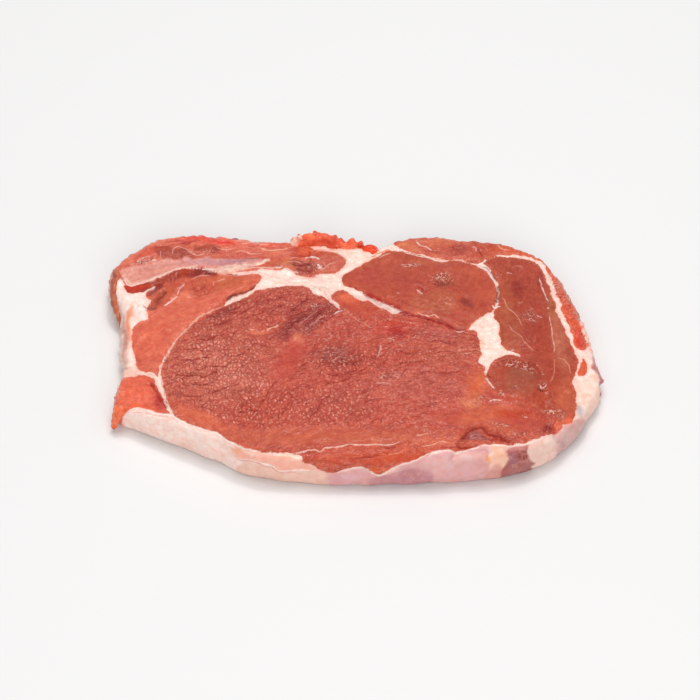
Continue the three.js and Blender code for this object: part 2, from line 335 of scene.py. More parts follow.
MUSCLES = [Muscle(name, tone, crinkle, drawn(*numbers)) for name, tone, crinkle, *numbers in (
    ("eye", "#c55a4c", 0.85, -38, 19.8, -31, 21.2, -25, 22.2, -20, 22.6, -17.6, 21.4, -16.2, 18.4,
     -14, 16.2, -11, 15, -9.2, 13.6, -7.6, 11.8, -6.2, 9.2, -4, 8.6, -4.4, 11.5, -5.6, 14, -7.4, 16.5,
     -7, 18.5, -5, 19.4, -2.8, 19.2, -0.5, 17.6, 2.2, 14.2, 4.8, 12.9, 7.5, 13, 10, 10.8, 12.2, 9.4, 15, 7,
     17.6, 5.2, 19.6, 5.6, 21.4, 7.2, 24, 7, 28, 5.2, 33, 3, 38, 0.8, 42, -1.4, 45, -3.6, 48, -3.8,
     50, -4.5, 51, -7, 52, -12, 52, -18, 51, -21, 52.8, -24, 53.2, -28, 53.8, -32, 55.2, -35.5, 58, -39,
     64, -41, 70, -44, 76, -49, 80, -52.5, 83, -56, 79.5, -60.5, 75, -61.8, 70, -64.2, 66, -65.8, 62, -66,
     56, -66, 51, -66.2, 46, -68, 42, -69.8, 36.5, -69.4, 32, -70, 29, -72, 24.5, -74.7, 20, -76.3,
     16.5, -78.2, 13.5, -80.8, 11.4, -82, 9, -80.8, 6.5, -78.8, 4.5, -77.7, 1, -78.2, -2, -79.2,
     -5.5, -80.2, -9.5, -80.2, -11.8, -78.8, -14, -76.8, -17.5, -75.2, -18.3, -72.8, -20, -71, -25, -70.6,
     -32, -70.1, -37.5, -69, -43.5, -67, -48.5, -63.5, -51.5, -60.2, -55, -58.6, -62, -55.6, -66, -53.2,
     -68, -50.8, -70, -47.5, -71.8, -43.5, -73, -38, -73.8, -33, -74.6, -28.5, -74.8, -25, -73.7, -21,
     -72, -15.5, -70, -10.5, -67.6, -6.2, -64.6, -1.2, -61.4, 3.2, -57.4, 7.2, -53, 10, -49, 12.3,
     -45.5, 14.2, -41.5, 17),
    ("left", "#dd705c", 0.1, -60, 28.8, -55, 28.2, -50, 28.8, -43.5, 28.4, -39.2, 28.8, -37.4, 27.5,
     -37.6, 24, -38.8, 22, -42.5, 19.6, -47, 17.2, -50, 15, -51.8, 11.8, -55, 9.6, -59.8, 5.4, -64.8, 0,
     -68, -5, -71, -10, -74, -17.5, -76.2, -25.5, -76.6, -30.6, -78.6, -28.6, -81, -27.4, -84, -25,
     -85.4, -20, -87.2, -14, -87.6, -7, -86.8, -1, -82, 2.4, -81.2, 5.5, -82.6, 8, -81.8, 10.5, -81, 14,
     -83, 16.5, -82.4, 18.8, -80, 21.6, -77, 24.4, -73.5, 26.4, -70, 27.8, -66.5, 27.6),
    ("front_left", "#e46a55", 0.25, -88, -30, -85, -29.2, -82, -29.2, -79, -30.8, -76.6, -35.5,
     -74.4, -40.4, -72.6, -46.5, -71.2, -50, -74, -50, -77, -48.2, -81, -47, -84, -46.2, -86.5, -46.8,
     -88.7, -49.5, -90, -52.5, -90.8, -57, -110, -62, -110, -31),
    ("rib_strip", "#d56a57", 0.35, -110, 26, -110, 45, -95, 66, -60, 70, -22, 68, -20.5, 47, -16, 44.5,
     -16, 41, -17, 36, -18, 29.5, -22, 30, -26, 33, -31, 32, -36, 32.4, -41, 31.6, -45.5, 31, -49.5, 29.6,
     -52, 29.2, -55, 29.2, -58.5, 29.8, -62.5, 30.8, -66.5, 31.6, -71, 31, -75, 28.6, -78.5, 26.2,
     -83.5, 23.6, -87.5, 22.2, -90.8, 21.6, -92.6, 24.4, -94, 27, -96, 28),
    # under_lip is dark red, partly shade painted in the gap under the lip
    ("under_lip", "#8c3528", 0.0, -92.4, 21.6, -90.5, 18.4, -86, 18.6, -83, 18.8, -80, 21, -77, 22,
     -73.6, 23.4, -70.5, 24.8, -66.5, 25.2, -63.4, 26.2, -60, 26.4, -55, 26, -54, 30, -56, 33, -62.5, 34,
     -66.5, 34, -71, 33, -75, 31, -78.5, 28.4, -83.5, 25.8, -87.5, 24.4, -90.8, 23.4),
    ("nub", "#d06c5a", 0.45, -17, 43, -13, 43.3, -8.5, 43, -5.4, 42, -3, 39.2, -2.4, 36.5, -3, 33.2,
     -5.5, 31.2, -8, 30.2, -13, 29.2, -18, 28.4, -21, 30, -20, 36, -18, 40),
    ("crumbs", "#ee7050", 0.3, -23.4, 46, -24, 66, 12.4, 66, 11.6, 44.5, 10.8, 42.6, 8.5, 42.4, 6, 43.4,
     5, 45, 1, 44.6, -3, 45.4, -5.5, 45.6, -9, 46.2, -10, 47.6, -16.5, 46.6, -20, 46.4),
    ("triangle", "#bb5848", 0.1, -2.6, 27, -2.6, 23.6, 0, 21.3, 2.5, 19.8, 5, 18.7, 7.2, 16.7, 11.5, 14.6,
     15.5, 12.2, 19.5, 9.4, 23, 7.2, 27.5, 5.2, 31.5, 3.4, 35, 2.4, 38.5, 0.2, 43, -2.8, 45.8, -4, 47, -2.6,
     48.4, -0.6, 51, 2.6, 55, 5.8, 58, 9, 58.8, 12.5, 59.2, 17, 59.4, 22.5, 58, 27, 55.4, 31, 52, 33,
     49.5, 35.4, 46, 37, 41, 36.8, 36.6, 37.2, 33, 38.5, 28, 40.4, 24, 42, 19, 42.8, 14.6, 41.8, 11.4, 39.6,
     8, 37.2, 4, 34, 0.5, 31, -1.4, 29),
    ("rear_right", "#ca6350", 0.3, 17.4, 48.5, 16, 66, 40, 68, 61.6, 66, 61, 47.4, 61.6, 44.8, 64, 43.4,
     66.5, 41.4, 63, 40.8, 59.4, 40.2, 56.8, 38.2, 54.6, 36.8, 51.4, 35.8, 47, 38.2, 41, 38, 37.2, 38.4,
     34.5, 39.4, 31.5, 41, 28, 41.6, 24.6, 43.2, 21.6, 45, 19.4, 46.6),
    ("cap", "#b05142", 0.16, 59.8, 39.2, 57, 37.4, 55.4, 35.4, 57.6, 32.4, 59.6, 28.4, 61, 25, 61.2, 19.5,
     60.8, 15.6, 60.6, 11, 59.2, 9, 58.3, 6.4, 59.2, 3, 60.2, -0.6, 60.7, -4, 60.8, -12, 62.4, -14.6,
     66, -16.4, 67.4, -18.8, 62, -18.4, 58.4, -20.6, 56.2, -23.6, 54.8, -26.6, 54.4, -31, 56.4, -36.2,
     58, -40, 64, -41, 72, -46, 80, -53, 85.4, -55.2, 87.6, -50.6, 88.8, -45, 89.2, -39.6, 88.2, -34,
     88.6, -29.4, 90.2, -24, 90.8, -18.4, 89.6, -14, 88.2, -9.6, 87, -5, 86, -0.4, 84.4, 4.6, 83.4, 8,
     83.8, 11.4, 82.8, 15, 81.8, 18.8, 81.4, 22.4, 80.4, 27.4, 79.2, 31.8, 78, 35.2, 75.8, 37.2, 72.4, 38.6,
     67, 39.2, 63, 39.4),
    ("outer_strip", "#dc6447", 0.5, 61.4, 45.8, 63.4, 43.6, 66.6, 42, 71, 41.2, 75.2, 40, 78.6, 38.4,
     80.8, 36, 82, 31.8, 83, 27.4, 84.2, 22.8, 84.4, 19.2, 85.4, 16, 86.8, 12.4, 86.6, 8.8, 87.4, 4.2,
     89, -1, 90, -5.6, 91, -10.8, 92.2, -13.8, 94.2, -14, 95, -9, 95.4, -3, 112, -1, 112, 40, 90, 60,
     62, 60),
    ("right_spot", "#e0603f", 0.2, 93.2, -20, 94, -22.6, 93.9, -26.4, 93.4, -28, 91.9, -28.4, 90.9, -27.8,
     91.4, -26, 92, -23.8, 92.6, -21.8),
)]

# Pale strokes are strands of fat and tissue, and some are painted highlights; dark strokes are cracks and
# dark tissue, and some are painted shade. The painted ones are marked below.
STROKES = [Stroke(width, tone, rise, drawn(*numbers)) for width, tone, rise, *numbers in (
    (1.5, "#efbfae", 0.2, -94, 29.6, -92, 26.2, -90, 23.4, -87.5, 23.5, -83.5, 24.8, -78.5, 27.4, -74.6, 30,
     -70.6, 32.4, -66, 33.4, -62, 33.4),
    (0.6, CREAM, 0.4, -95.5, 30.5, -94, 28.5, -93, 26, -92, 24, -90.5, 22.2, -87.5, 22.7, -83.5, 24,
     -78.5, 26.6, -75, 29, -71, 31.5, -66.5, 32.3, -62.5, 32.2, -58, 31.8, -52, 31.8),
    (0.6, "#e9c0b6", 0.3, -88, 36.5, -86.5, 38, -84, 39.5, -82, 40),
    (0.6, "#efcdc4", 0.3, -85.5, 35.5, -83, 37, -81, 38, -79, 37.2),
    (0.6, "#e3b5aa", 0.3, -90.5, 34.8, -88, 35.8, -86, 35.6),
    (0.5, "#d99a8e", 0.2, -78.5, 43, -78.5, 39.5, -77, 37.5),
    (0.55, "#eab5a5", 0.3, -73.5, 39.5, -73.5, 42.5, -72.5, 45.2, -69.5, 45, -66.5, 42.6, -63.5, 40.7,
     -59, 42),
    (0.5, "#e6b4a6", 0.2, -56, 45, -53, 43.6, -49, 43.8),
    (0.6, "#f0b7a8", 0.2, -46, 47, -41, 47.6, -37, 46.6, -33, 46.8),
    (0.6, "#f2b3a2", 0.2, -38, 44.4, -33, 43, -28.6, 43.4, -25, 45),
    (0.5, "#f0ab9a", 0.2, -50, 42, -45, 42.8, -41, 41.6, -36, 41.8),
    (0.6, "#c8392c", -0.3, -43, 45.4, -38, 45.8, -34, 44.6, -30, 45),
    (0.8, BLOOD, -0.4, -82, 44.8, -77, 45.7, -73, 47, -70, 47.7, -66, 48.2),
    (0.6, "#c2392c", -0.3, -60, 47.5, -56, 47, -52, 48.2, -47, 46.4),
    (0.5, "#7c4a4c", -0.3, -62.5, 41.3, -60.5, 41.3, -58.5, 42.2, -55.5, 41.8),
    (0.6, "#8b5a5c", -0.3, -89, 35.4, -86, 36.8, -83, 38.4),
    (0.5, "#8b5a5c", -0.3, -45, 38.5, -41, 39.3, -37, 38.6),
    (0.7, "#f3d5cf", 0.35, -76, 10.4, -73, 14, -70.4, 17.4),
    (0.6, LILAC, 0.35, -70.8, 17, -69.5, 21.5, -67.6, 24.4),
    # painted highlight along a fold of the left muscle
    (0.5, "#e9b7b0", 0.4, -66, 25.4, -63, 27.2, -60.5, 28.2, -57, 28),
    (0.5, "#f0b7a4", 0.25, -55, 25, -53.5, 25.5, -51, 26.6),
    (0.5, "#eba08b", 0.25, -67, 18.4, -65.4, 19.2, -63.8, 18.6),
    (0.7, WHITE, 0.4, -84.5, 18, -82, 20, -79.6, 21.9),
    # painted shade along the edge of the lip
    (0.7, "#7a2c24", -0.5, -50.5, 29.6, -48.5, 29.4, -46, 29),
    # this stroke and the next two: painted shade in the pockets between the left muscle's folds
    (2.0, "#86504f", -0.7, -83, 16.6, -81.4, 18.6, -79.2, 21, -77.2, 22.4, -75.8, 22.8),
    (0.9, "#7c3c3c", -0.8, -79.4, 12.6, -78.4, 14.8, -77, 17, -74.6, 19.4),
    (1.0, "#8e5650", -0.5, -84.2, 10.6, -82.2, 9, -80, 9, -78.4, 10),
    (0.7, "#a8453c", -0.5, -65, 21.4, -63, 19.6, -61, 20, -59.2, 22.6, -60, 24.4),
    (0.6, "#a94a42", -0.5, -66, 17.6, -63, 17.4, -61, 17, -58.5, 18, -56.5, 21, -55.4, 23.4),
    (0.6, "#b8402f", -0.3, -71.2, 3.6, -69.3, 2.4),
    # painted shade on the left muscle's wall that faces the front
    (1.1, "#72292b", -0.7, -50.6, 13.9, -49, 15.6, -46.5, 17.2, -43, 19.2, -39, 21.6),
    (0.5, "#e3b9b6", 0.25, -46, 29.7, -42, 30, -37.5, 29.6, -34, 29),
    (0.6, "#eec9bd", 0.3, -44, 31.8, -40.5, 32.8, -35.5, 32.8, -31, 32.4, -28.5, 32.8, -26.5, 32.4),
    # this stroke and the next: painted highlights
    (0.9, "#f3d9d0", 0.4, -31, 33.4, -29.5, 32.6, -27.6, 33.4),
    (1.0, "#f1d3ca", 0.3, -18.8, 37.8, -16.8, 38.6, -14.8, 38.2, -12.6, 36.6),
    (1.0, "#dbb0a6", 0.3, -27, 32.4, -24, 31.4, -21, 29.6),
    (0.7, "#e2a590", 0.3, -26, 36.6, -22.6, 36.2, -20, 34.6),
    (0.8, "#e9b9ad", 0.2, -14.6, 43.2, -11, 43.4, -7.6, 42.6),
    (0.9, "#78281f", -0.5, -22, 32.4, -19, 31, -15.6, 30),
    (0.8, "#7e2f26", -0.4, -19.6, 35.4, -17, 34.4, -15.4, 32),
    (0.5, "#e5a99a", 0.2, -25, 38, -23, 38.6, -21, 38),
    # painted highlight
    (1.0, "#f4e2dd", 0.4, -13.8, 34, -12.2, 32.7, -13.6, 31.6),
    (0.6, "#e7b0a2", 0.35, -11.8, 30.6, -9.5, 32.8, -7.5, 34.6, -5.6, 35.2),
    (0.6, "#7e3430", -0.5, -24.5, 35, -21, 33.8, -18.4, 34.6, -16.6, 33),
    (0.6, "#8a4038", -0.4, -16.6, 43.4, -16.8, 39.4, -15.6, 36),
    (0.5, "#f6cdb6", 0.3, 11.4, 38.8, 14.5, 40.4, 17.2, 41.8),
    (0.9, "#e3805f", 0.5, 8.3, 38.8, 11, 40.8, 14.4, 42.8, 16.8, 43.7),
    (0.9, CREAM, 0.3, -51.5, 11.2, -49.5, 12.7, -46, 14.8, -41.5, 17.8, -38, 20.6),
    (0.65, "#efb7a5", 0.25, -51.5, 11, -54, 9.5, -57.5, 7, -60, 5, -62, 2.5, -64, 0, -66, -3.5, -68.5, -7,
     -70.5, -10, -72, -14.5, -73.5, -19, -74.6, -22.4),
    (0.6, "#f3cdbf", 0.3, -74, -19.5, -75, -22.5, -75.6, -25.5, -75.1, -29.5, -74.2, -33.5, -73.6, -37,
     -72.6, -41, -71.5, -44.5, -70, -48, -67.6, -51.2),
    (1.1, "#f7dacd", 0.3, -82.5, -28.4, -79.5, -28.2, -77.3, -30, -75.8, -32.8, -74.6, -35.6, -73.4, -38.8),
    # painted shade in the groove beside the fold
    (1.5, "#9a2a22", -0.9, -79.4, -32, -77.6, -35.4, -75.6, -39.4, -73.6, -43.4, -71.4, -47.6),
    (0.5, "#f5cdbe", 0.3, -31, -70.3, -26, -71, -21, -71, -17.5, -70.5, -13.5, -69.7, -11, -70, -9.5, -68.7,
     -5, -68, -1, -66.9, 3, -66.6, 7, -66.7, 10.5, -66.6, 14.5, -66.6, 17.5, -66, 20.5, -64.6, 22.8, -63.2),
    (1.0, "#f8e2d8", 0.3, -89.5, -50.5, -87, -48, -83.5, -47, -79.5, -48, -75, -50, -70, -50.9, -66, -54,
     -62, -56.3, -56, -58.8, -51.5, -60.8, -48.5, -64, -43.5, -67.5, -37.5, -69.6, -31, -70.6),
    (0.5, "#e29c8c", -0.35, -87, -49.4, -81, -49.2, -75, -51, -70, -52),
    (1.3, "#f0a78d", -0.2, -42, -68.9, -36.5, -70.9, -31.5, -72, -26, -73, -20, -74),
    (0.7, WHITE, 0.4, -47, -68, -44.7, -71.6, -42.5, -74, -37.5, -74.6, -32.5, -77, -29.5, -78,
     -27.5, -80.3, -25.5, -80.4, -19, -79.6, -13, -80.6),
    (0.8, "#d99a8c", -0.5, -46.6, -69.4, -44, -73, -42, -75, -37.5, -75.6, -32.5, -78.1, -30, -79,
     -28, -81.3, -25, -81.4, -19, -80.8),
    (1.0, "#f5d8ce", 0.2, -11.6, -79.6, -9.5, -80.9, -5.5, -80.9, -2, -79.9, 1, -78.9, 4.5, -78.4,
     6.5, -79.4, 9, -81.4, 11.5, -82.7, 13.5, -81.4, 16.5, -78.9, 20, -76.9, 24.5, -75.2, 29, -72.5,
     32, -70.6, 36.5, -70, 41, -70.4, 46, -68.5, 51, -66.7, 55, -66.6, 59, -66.9, 64, -66.6, 68.5, -66.3,
     71.5, -65, 75, -62.7, 79, -61, 83, -57.6),
    (0.6, "#cf9796", -0.4, 37.5, -75.4, 39.3, -73, 40.6, -71),
    (0.6, "#c4848c", -0.3, 11.5, -83.2, 17, -81.7, 22, -79.9, 27, -78),
    (1.0, "#8c2a20", -0.6, 12.6, -68, 15, -68.2, 17.8, -67.4),
    (0.9, "#9a352a", -0.4, 1, -73.4, 6.5, -73.4, 12, -72),
    (0.6, "#8c2a20", -0.5, 12.3, -70.6, 14.8, -71.5),
    (0.5, "#ef9a7c", 0.3, 14, -72.4, 17, -71.6, 21, -70.6),
    (0.6, "#b8523f", -0.3, -16.5, -76, -11.5, -75, -6.5, -76, -1, -77),
    (0.5, "#f3b093", 0.3, 25, -62.8, 28, -61.8, 31, -60.6),
    (0.6, "#f4b79c", 0.35, 27, -67.8, 31, -67, 35, -65.4, 38, -66.2),
    (0.7, "#9c3326", -0.6, 34.5, -68, 39, -68.2, 43.5, -67.6, 47.5, -66.6),
    (0.9, "#8e2a25", -0.9, 41.5, -65, 43, -64, 45, -61, 47.5, -58.4, 51, -57.2, 53, -59.5, 55.5, -61,
     59, -63.3, 62, -65),
    (0.6, "#c58a8c", 0.3, 46, -61.6, 48.6, -60.4, 51.4, -60.8),
    (0.5, "#c58a8c", 0.3, 45.4, -62.8, 49, -62.2, 53.6, -62.6),
    # painted shade in the deep hollow
    (0.8, "#8c2c28", -0.9, 75.4, -59.4, 76.2, -57.6, 77.2, -56, 78.6, -57.6, 76.8, -59.8),
    # painted shade in a pit
    (0.9, "#471f1c", -0.9, 74.8, -35.4, 76.2, -37),
    # painted glint beside the pit
    (0.5, "#f6d3c8", 0.3, 75, -34, 76, -35.3, 77, -35, 78.2, -34.2),
    (0.5, "#d98d72", 0.2, 78.6, -34, 79.8, -32.6, 81, -28.5, 81.5, -24.5, 81.5, -19),
    (0.5, "#f0bfb0", 0.2, 80.8, 6.4, 81, 1, 81.5, -5, 81.6, -10, 82, -13.5, 81.6, -18),
    (0.5, "#e0987e", 0.2, 82, -19, 86, -21, 87.5, -25, 88, -29),
    (0.6, "#eec6bc", 0.2, 77.9, 27.4, 78.5, 22.5, 79.5, 17.8, 80.2, 14.5, 81.2, 11.6),
    (0.5, "#8a4a42", -0.4, 77, 29, 77.4, 25.5, 78, 21.6, 79, 17),
    (0.7, "#ecc0b2", 0.3, 80.2, 9.4, 81.2, 8.4),
    (0.4, "#eaa899", 0.2, 62, 16.8, 63, 13, 64, 9, 66, 6.5, 68, 3, 69, -0.6, 70, -3),
    (0.35, "#e29c8c", 0.2, 63.5, 0.4, 65, -3.5, 66.5, -5.5, 68.5, -7.5, 71, -12.5, 73, -15, 75, -17),
    (0.6, "#e9ac9a", 0.3, 75.6, 4.8, 76.6, 4, 78, 3.2),
    (0.6, "#e4a08d", 0.3, 68.3, 12, 70.8, 12.6),
    (0.5, "#e4a08d", 0.3, 64.3, 30.2, 67, 28.9),
    (0.5, "#e4a08d", 0.3, 72.6, 9.6, 74.4, 7.6),
    (0.5, "#cf7d68", -0.2, 66, 33, 70, 33.6, 72, 31.4),
    (0.8, "#f6dccc", 0.3, 60.4, -17, 63, -16.4, 66.5, -17.5, 68.4, -19.8),
    (0.6, "#f2cdbb", 0.3, 61.4, -14.5, 63, -15.9, 65.8, -15),
    (0.8, "#9a5440", -0.4, 58.6, 5.6, 59.8, 2.6, 60.7, -0.8, 61.1, -4, 61.4, -10),
    (0.5, "#f6d3c5", 0.3, 54, -44, 56.5, -43.1, 60, -43.5),
    (0.7, CREAM, 0.3, 53.6, -30, 54.6, -32.5, 55.6, -34.5, 57, -37),
    (0.6, "#5f2b28", -0.5, 55.2, -25.6, 54.8, -28.4, 55.6, -30.6),
    (1.0, CREAM, 0.35, 21.4, 43, 23.6, 42, 28, 40.3, 31.5, 39.6, 34.5, 38.3, 37, 37.3, 41, 37.4),
    (0.5, "#e9a58e", 0.2, 40.5, 37.2, 44, 38, 47.4, 38.4),
    (1.0, CREAM, 0.35, 49.4, 35.6, 52, 34.3, 53.8, 35.5, 55, 36.2, 56.4, 38.4),
    (0.7, "#f6d3c5", 0.3, 27.2, 48.8, 29.5, 46, 32, 45, 34.4, 42.8),
    (0.6, "#8b5a5c", -0.4, 33.5, 43, 37.5, 42.1, 41.4, 41),
    (0.6, "#8b3a38", -0.5, 53, 44.6, 54.5, 41, 55.2, 38.8),
    (0.6, LILAC, 0.3, 50.6, 45.6, 52.2, 44.6, 52, 42.4),
    (0.5, "#8b3a38", -0.4, 41, 45.6, 44.6, 43.8, 47, 44.4),
    (0.9, "#efe4e2", 0.3, 53, 33, 55.6, 31.9, 57.2, 29, 59, 25.8, 60.6, 24),
    # this stroke and the next: painted shade beside the white line on the cap's left edge
    (0.6, "#7a5a60", -0.6, 53.4, 34.3, 56.2, 33.2, 58.2, 30, 59.7, 27, 60.9, 24.2),
    (1.3, "#6e4a50", -0.9, 60.3, 23.6, 60.6, 19.5, 60.1, 15.5, 59.1, 12),
    (0.8, WHITE, 0.4, 57.6, 11, 59, 9.2, 60, 10.1, 61.4, 9.8),
    (0.9, CREAM, 0.3, 60, 40, 62.5, 40.5, 67, 40.1, 71, 39.9),
    (0.5, "#f4bda4", 0.3, 61.2, 47.2, 62.2, 45.2, 63.8, 44, 67, 43),
    # painted shade in the groove below the triangle
    (1.2, "#a3200f", -0.3, 2.5, 19.2, 5, 18, 7, 16.2, 11.5, 14, 15.5, 11.6, 19.5, 8.7, 23, 6.7, 27.5, 4.3,
     31.5, 2.7, 34.5, 1.8, 38.5, -0.3, 43, -3.2, 45.8, -4.4),
    (0.6, "#f0bfa9", 0.35, 27, 7, 28.6, 5.2, 30.6, 4.6, 32.4, 4.3, 34, 4.8, 35.2, 3.6, 36.4, 2.6),
    (0.7, "#eec6b6", 0.3, 42.4, -4.2, 44.4, -4.6, 46.4, -4.2),
    # painted glint on a wet spot
    (0.9, "#f0b6a8", 0.3, 26.9, 19.7, 28, 18.4, 29.2, 16.4),
    (0.7, "#a0392f", -0.4, 27.4, 21.6, 29.5, 19.6, 32, 18.3),
    (0.5, "#e0978a", 0.2, 18.6, 17.4, 20.4, 17.4),
    (0.6, "#cdb0b2", -0.2, 6.8, 15, 11, 12.6, 14.4, 9.8, 17.6, 6.8),
    (0.7, WHITE, 0.4, -6.5, 4.8, -4.6, 6.9, -2.3, 7.6),
    (0.4, "#eba391", 0.2, -3.4, 10.6, -1.6, 7.6, 0.5, 4.5, 3, 2, 5.5, 0, 8, -2.5, 10, -1.9),
    (0.7, LILAC, 0.4, -5.7, 12.6, -5, 9.8, -3.7, 8.2),
    (0.6, "#e6b3a4", -0.4, -15.6, 19.4, -14.4, 21.8, -12, 22.6, -9.2, 21, -8.2, 18),
    (0.5, "#e9bfae", -0.4, -9.4, 24.6, -6.4, 25.4, -3.4, 24.4),
    (0.5, "#e6bfb4", -0.3, -36, 29.6, -30, 27.6, -24, 27, -17, 27.6, -10, 28.6),
    (0.5, "#ecc6ba", -0.3, -34, 26, -28, 24.8, -22, 25.2, -16, 25),
    (0.6, "#dfb0a4", -0.4, -17, 24.4, -13, 22, -9.6, 17.6, -6.4, 13.6),
    (0.5, "#ddb4ac", -0.3, -16, 29.2, -10, 27.4, -5, 26.8),
    (0.9, "#a8784e", -0.9, -12.6, 21.6, -12, 20.2, -11.4, 18.6),
    (0.7, "#dcb7b4", -0.5, -10.4, 18.6, -9.4, 16.4, -8, 14.4, -6.6, 12),
    (0.8, "#cfa3ac", -0.3, -7, 12.6, -5.8, 10.6, -4.6, 9.4),
    (0.5, "#efbca9", -0.3, -13, 44.6, -6, 44.4, 0, 42.6, 4, 42.4),
    (0.5, "#e9b5a4", -0.3, -2, 37.6, -2.4, 41, -6, 43.6),
    (0.8, "#803634", -0.6, -27, -8.5, -25, -4.5, -22.5, 0, -19, 3, -15.6, 6),
    (0.8, "#803634", -0.6, -24.5, 6.5, -21.5, 10, -19, 13, -17, 15),
    (0.8, "#803634", -0.6, -19.5, -4.5, -17, 0, -13, 4.2, -9.4, 8.4),
    (0.5, "#8c3a38", -0.4, -14.5, -3.8, -11, 0.5, -8, 3, -6.6, 5.2),
    (0.6, "#d3837a", 0.3, -21.4, -2.6, -18.6, 1, -15.6, 4, -12.4, 7.6),
    (0.6, "#dc9186", 0.3, -15.4, -1.4, -12.8, 1.8, -10, 4.8),
    (0.7, "#f0b89c", 0.2, -40.4, -4, -38.4, -3.5),
    (0.7, "#f2c2ac", 0.3, -34, -3.6, -32, -2.6, -30, -2, -28.6, -0.6),
    (0.7, "#eeb0a2", 0.5, 10.3, -20.4, 11.6, -17.8, 12.2, -15, 12, -12.2),
    (0.7, "#8c3c36", -0.4, 8.6, -21.8, 10.4, -19, 11.2, -15.6),
    (0.6, "#e9a698", 0.4, 9.6, -34.8, 13, -34.1, 17, -34.7),
    (0.7, "#f3bfa9", 0.4, 24, 0.8, 24.7, -0.6),
    (0.6, "#f0b9a6", 0.4, 46.1, -16.8, 46.9, -18.4),
)]

CRACKS = [drawn(*numbers) for numbers in (
    (-59.6, -2.2, -56.5, -1.5, -54, -0.5, -50, 1, -47.5, 3, -45, 5.5, -42, 8, -37, 10.6),
    (-63, -9.5, -60, -9, -58, -9.5, -55.5, -8.5, -53.5, -7, -50, -5.6),
    (-70, -14.4, -65.5, -14.5, -61.5, -14.5, -57.5, -16.5, -53.5, -15, -49.5, -18.3, -46, -19, -42.5, -17,
     -39.6, -14.8),
    (-63, -26.5, -59.5, -26.4, -55.5, -24.6, -49.5, -24.5, -47, -22.5, -43, -21.8),
    (-71, -30, -67.5, -29.5, -64, -30, -60.5, -29.5, -58, -30.4, -54.5, -28.5, -51, -27.4),
    (-56, -39.2, -51.5, -37.5, -48, -36, -43, -33.6),
    (-48.5, 8.5, -46, 9.5, -42.5, 12, -40.5, 13, -37.6, 16.2),
    (-52, 5, -49.5, 5.5, -47, 6.5, -43.6, 8.8),
    (-69, -11, -65.5, -9, -62.5, -7.5, -60, -5.8),
    (-47, -9.8, -47, -7, -46.3, -4.6),
    (-68.8, -40.6, -65, -40.5, -60, -41, -54, -38.5, -49.5, -36),
    (-68, -20.4, -63, -20.8, -58.6, -19.6, -55, -20.6),
    (-66, -35.6, -61.6, -34.6, -57, -35, -53, -33),
    (-38, 12, -34, 14, -30, 14.6, -26.4, 16.4),
    (-44, 1.6, -40, 4.6, -36.4, 6, -33.6, 8.6),
    (-33, 5.6, -29.4, 9.6, -26, 11.6),
    (18.5, -23.5, 22, -22.5, 26.5, -22, 30.6, -21.8),
    (19.6, -15.6, 22.5, -17.4, 25.4, -17.5),
    (19.5, -30.8, 21.5, -27.5, 23.7, -24.6),
    (-1, -30.2, 4, -27.5, 7.5, -24.5, 10.8, -21.6),
    (-3.4, -21.8, 0, -23.4, 3, -22, 6.4, -18),
    (-20.4, -25.4, -18, -23, -15, -21.6),
    (29.6, -35.7, 32, -34, 35, -32.8),
    (-9.4, -29, -5, -29.8, -1, -28.5, 3.4, -26.2),
    (-12, -36, -8, -33.6, -4, -33.4, 0, -31),
    (-36, -46, -33, -41, -31.6, -36.4, -28.6, -32),
    (-27, -52, -24.6, -46, -22.6, -42),
    (-16, -52.6, -12.6, -48.4, -11, -43.4, -7, -40),
    (-44, -50, -39.6, -48, -36, -49.4),
    (4, -46.4, 8.4, -43, 13.6, -42.4),
    (30, -10.6, 34.6, -10, 39.6, -11.2, 44, -10.4),
    (26, -28.6, 32, -27.6, 38, -28.4, 45, -26.8),
    (34, -17, 38, -16.4, 43, -17),
)]  # in the eye, where the fibres have parted

STROKES += [Stroke(0.65, "#8e3028", -0.6, crack) for crack in CRACKS]

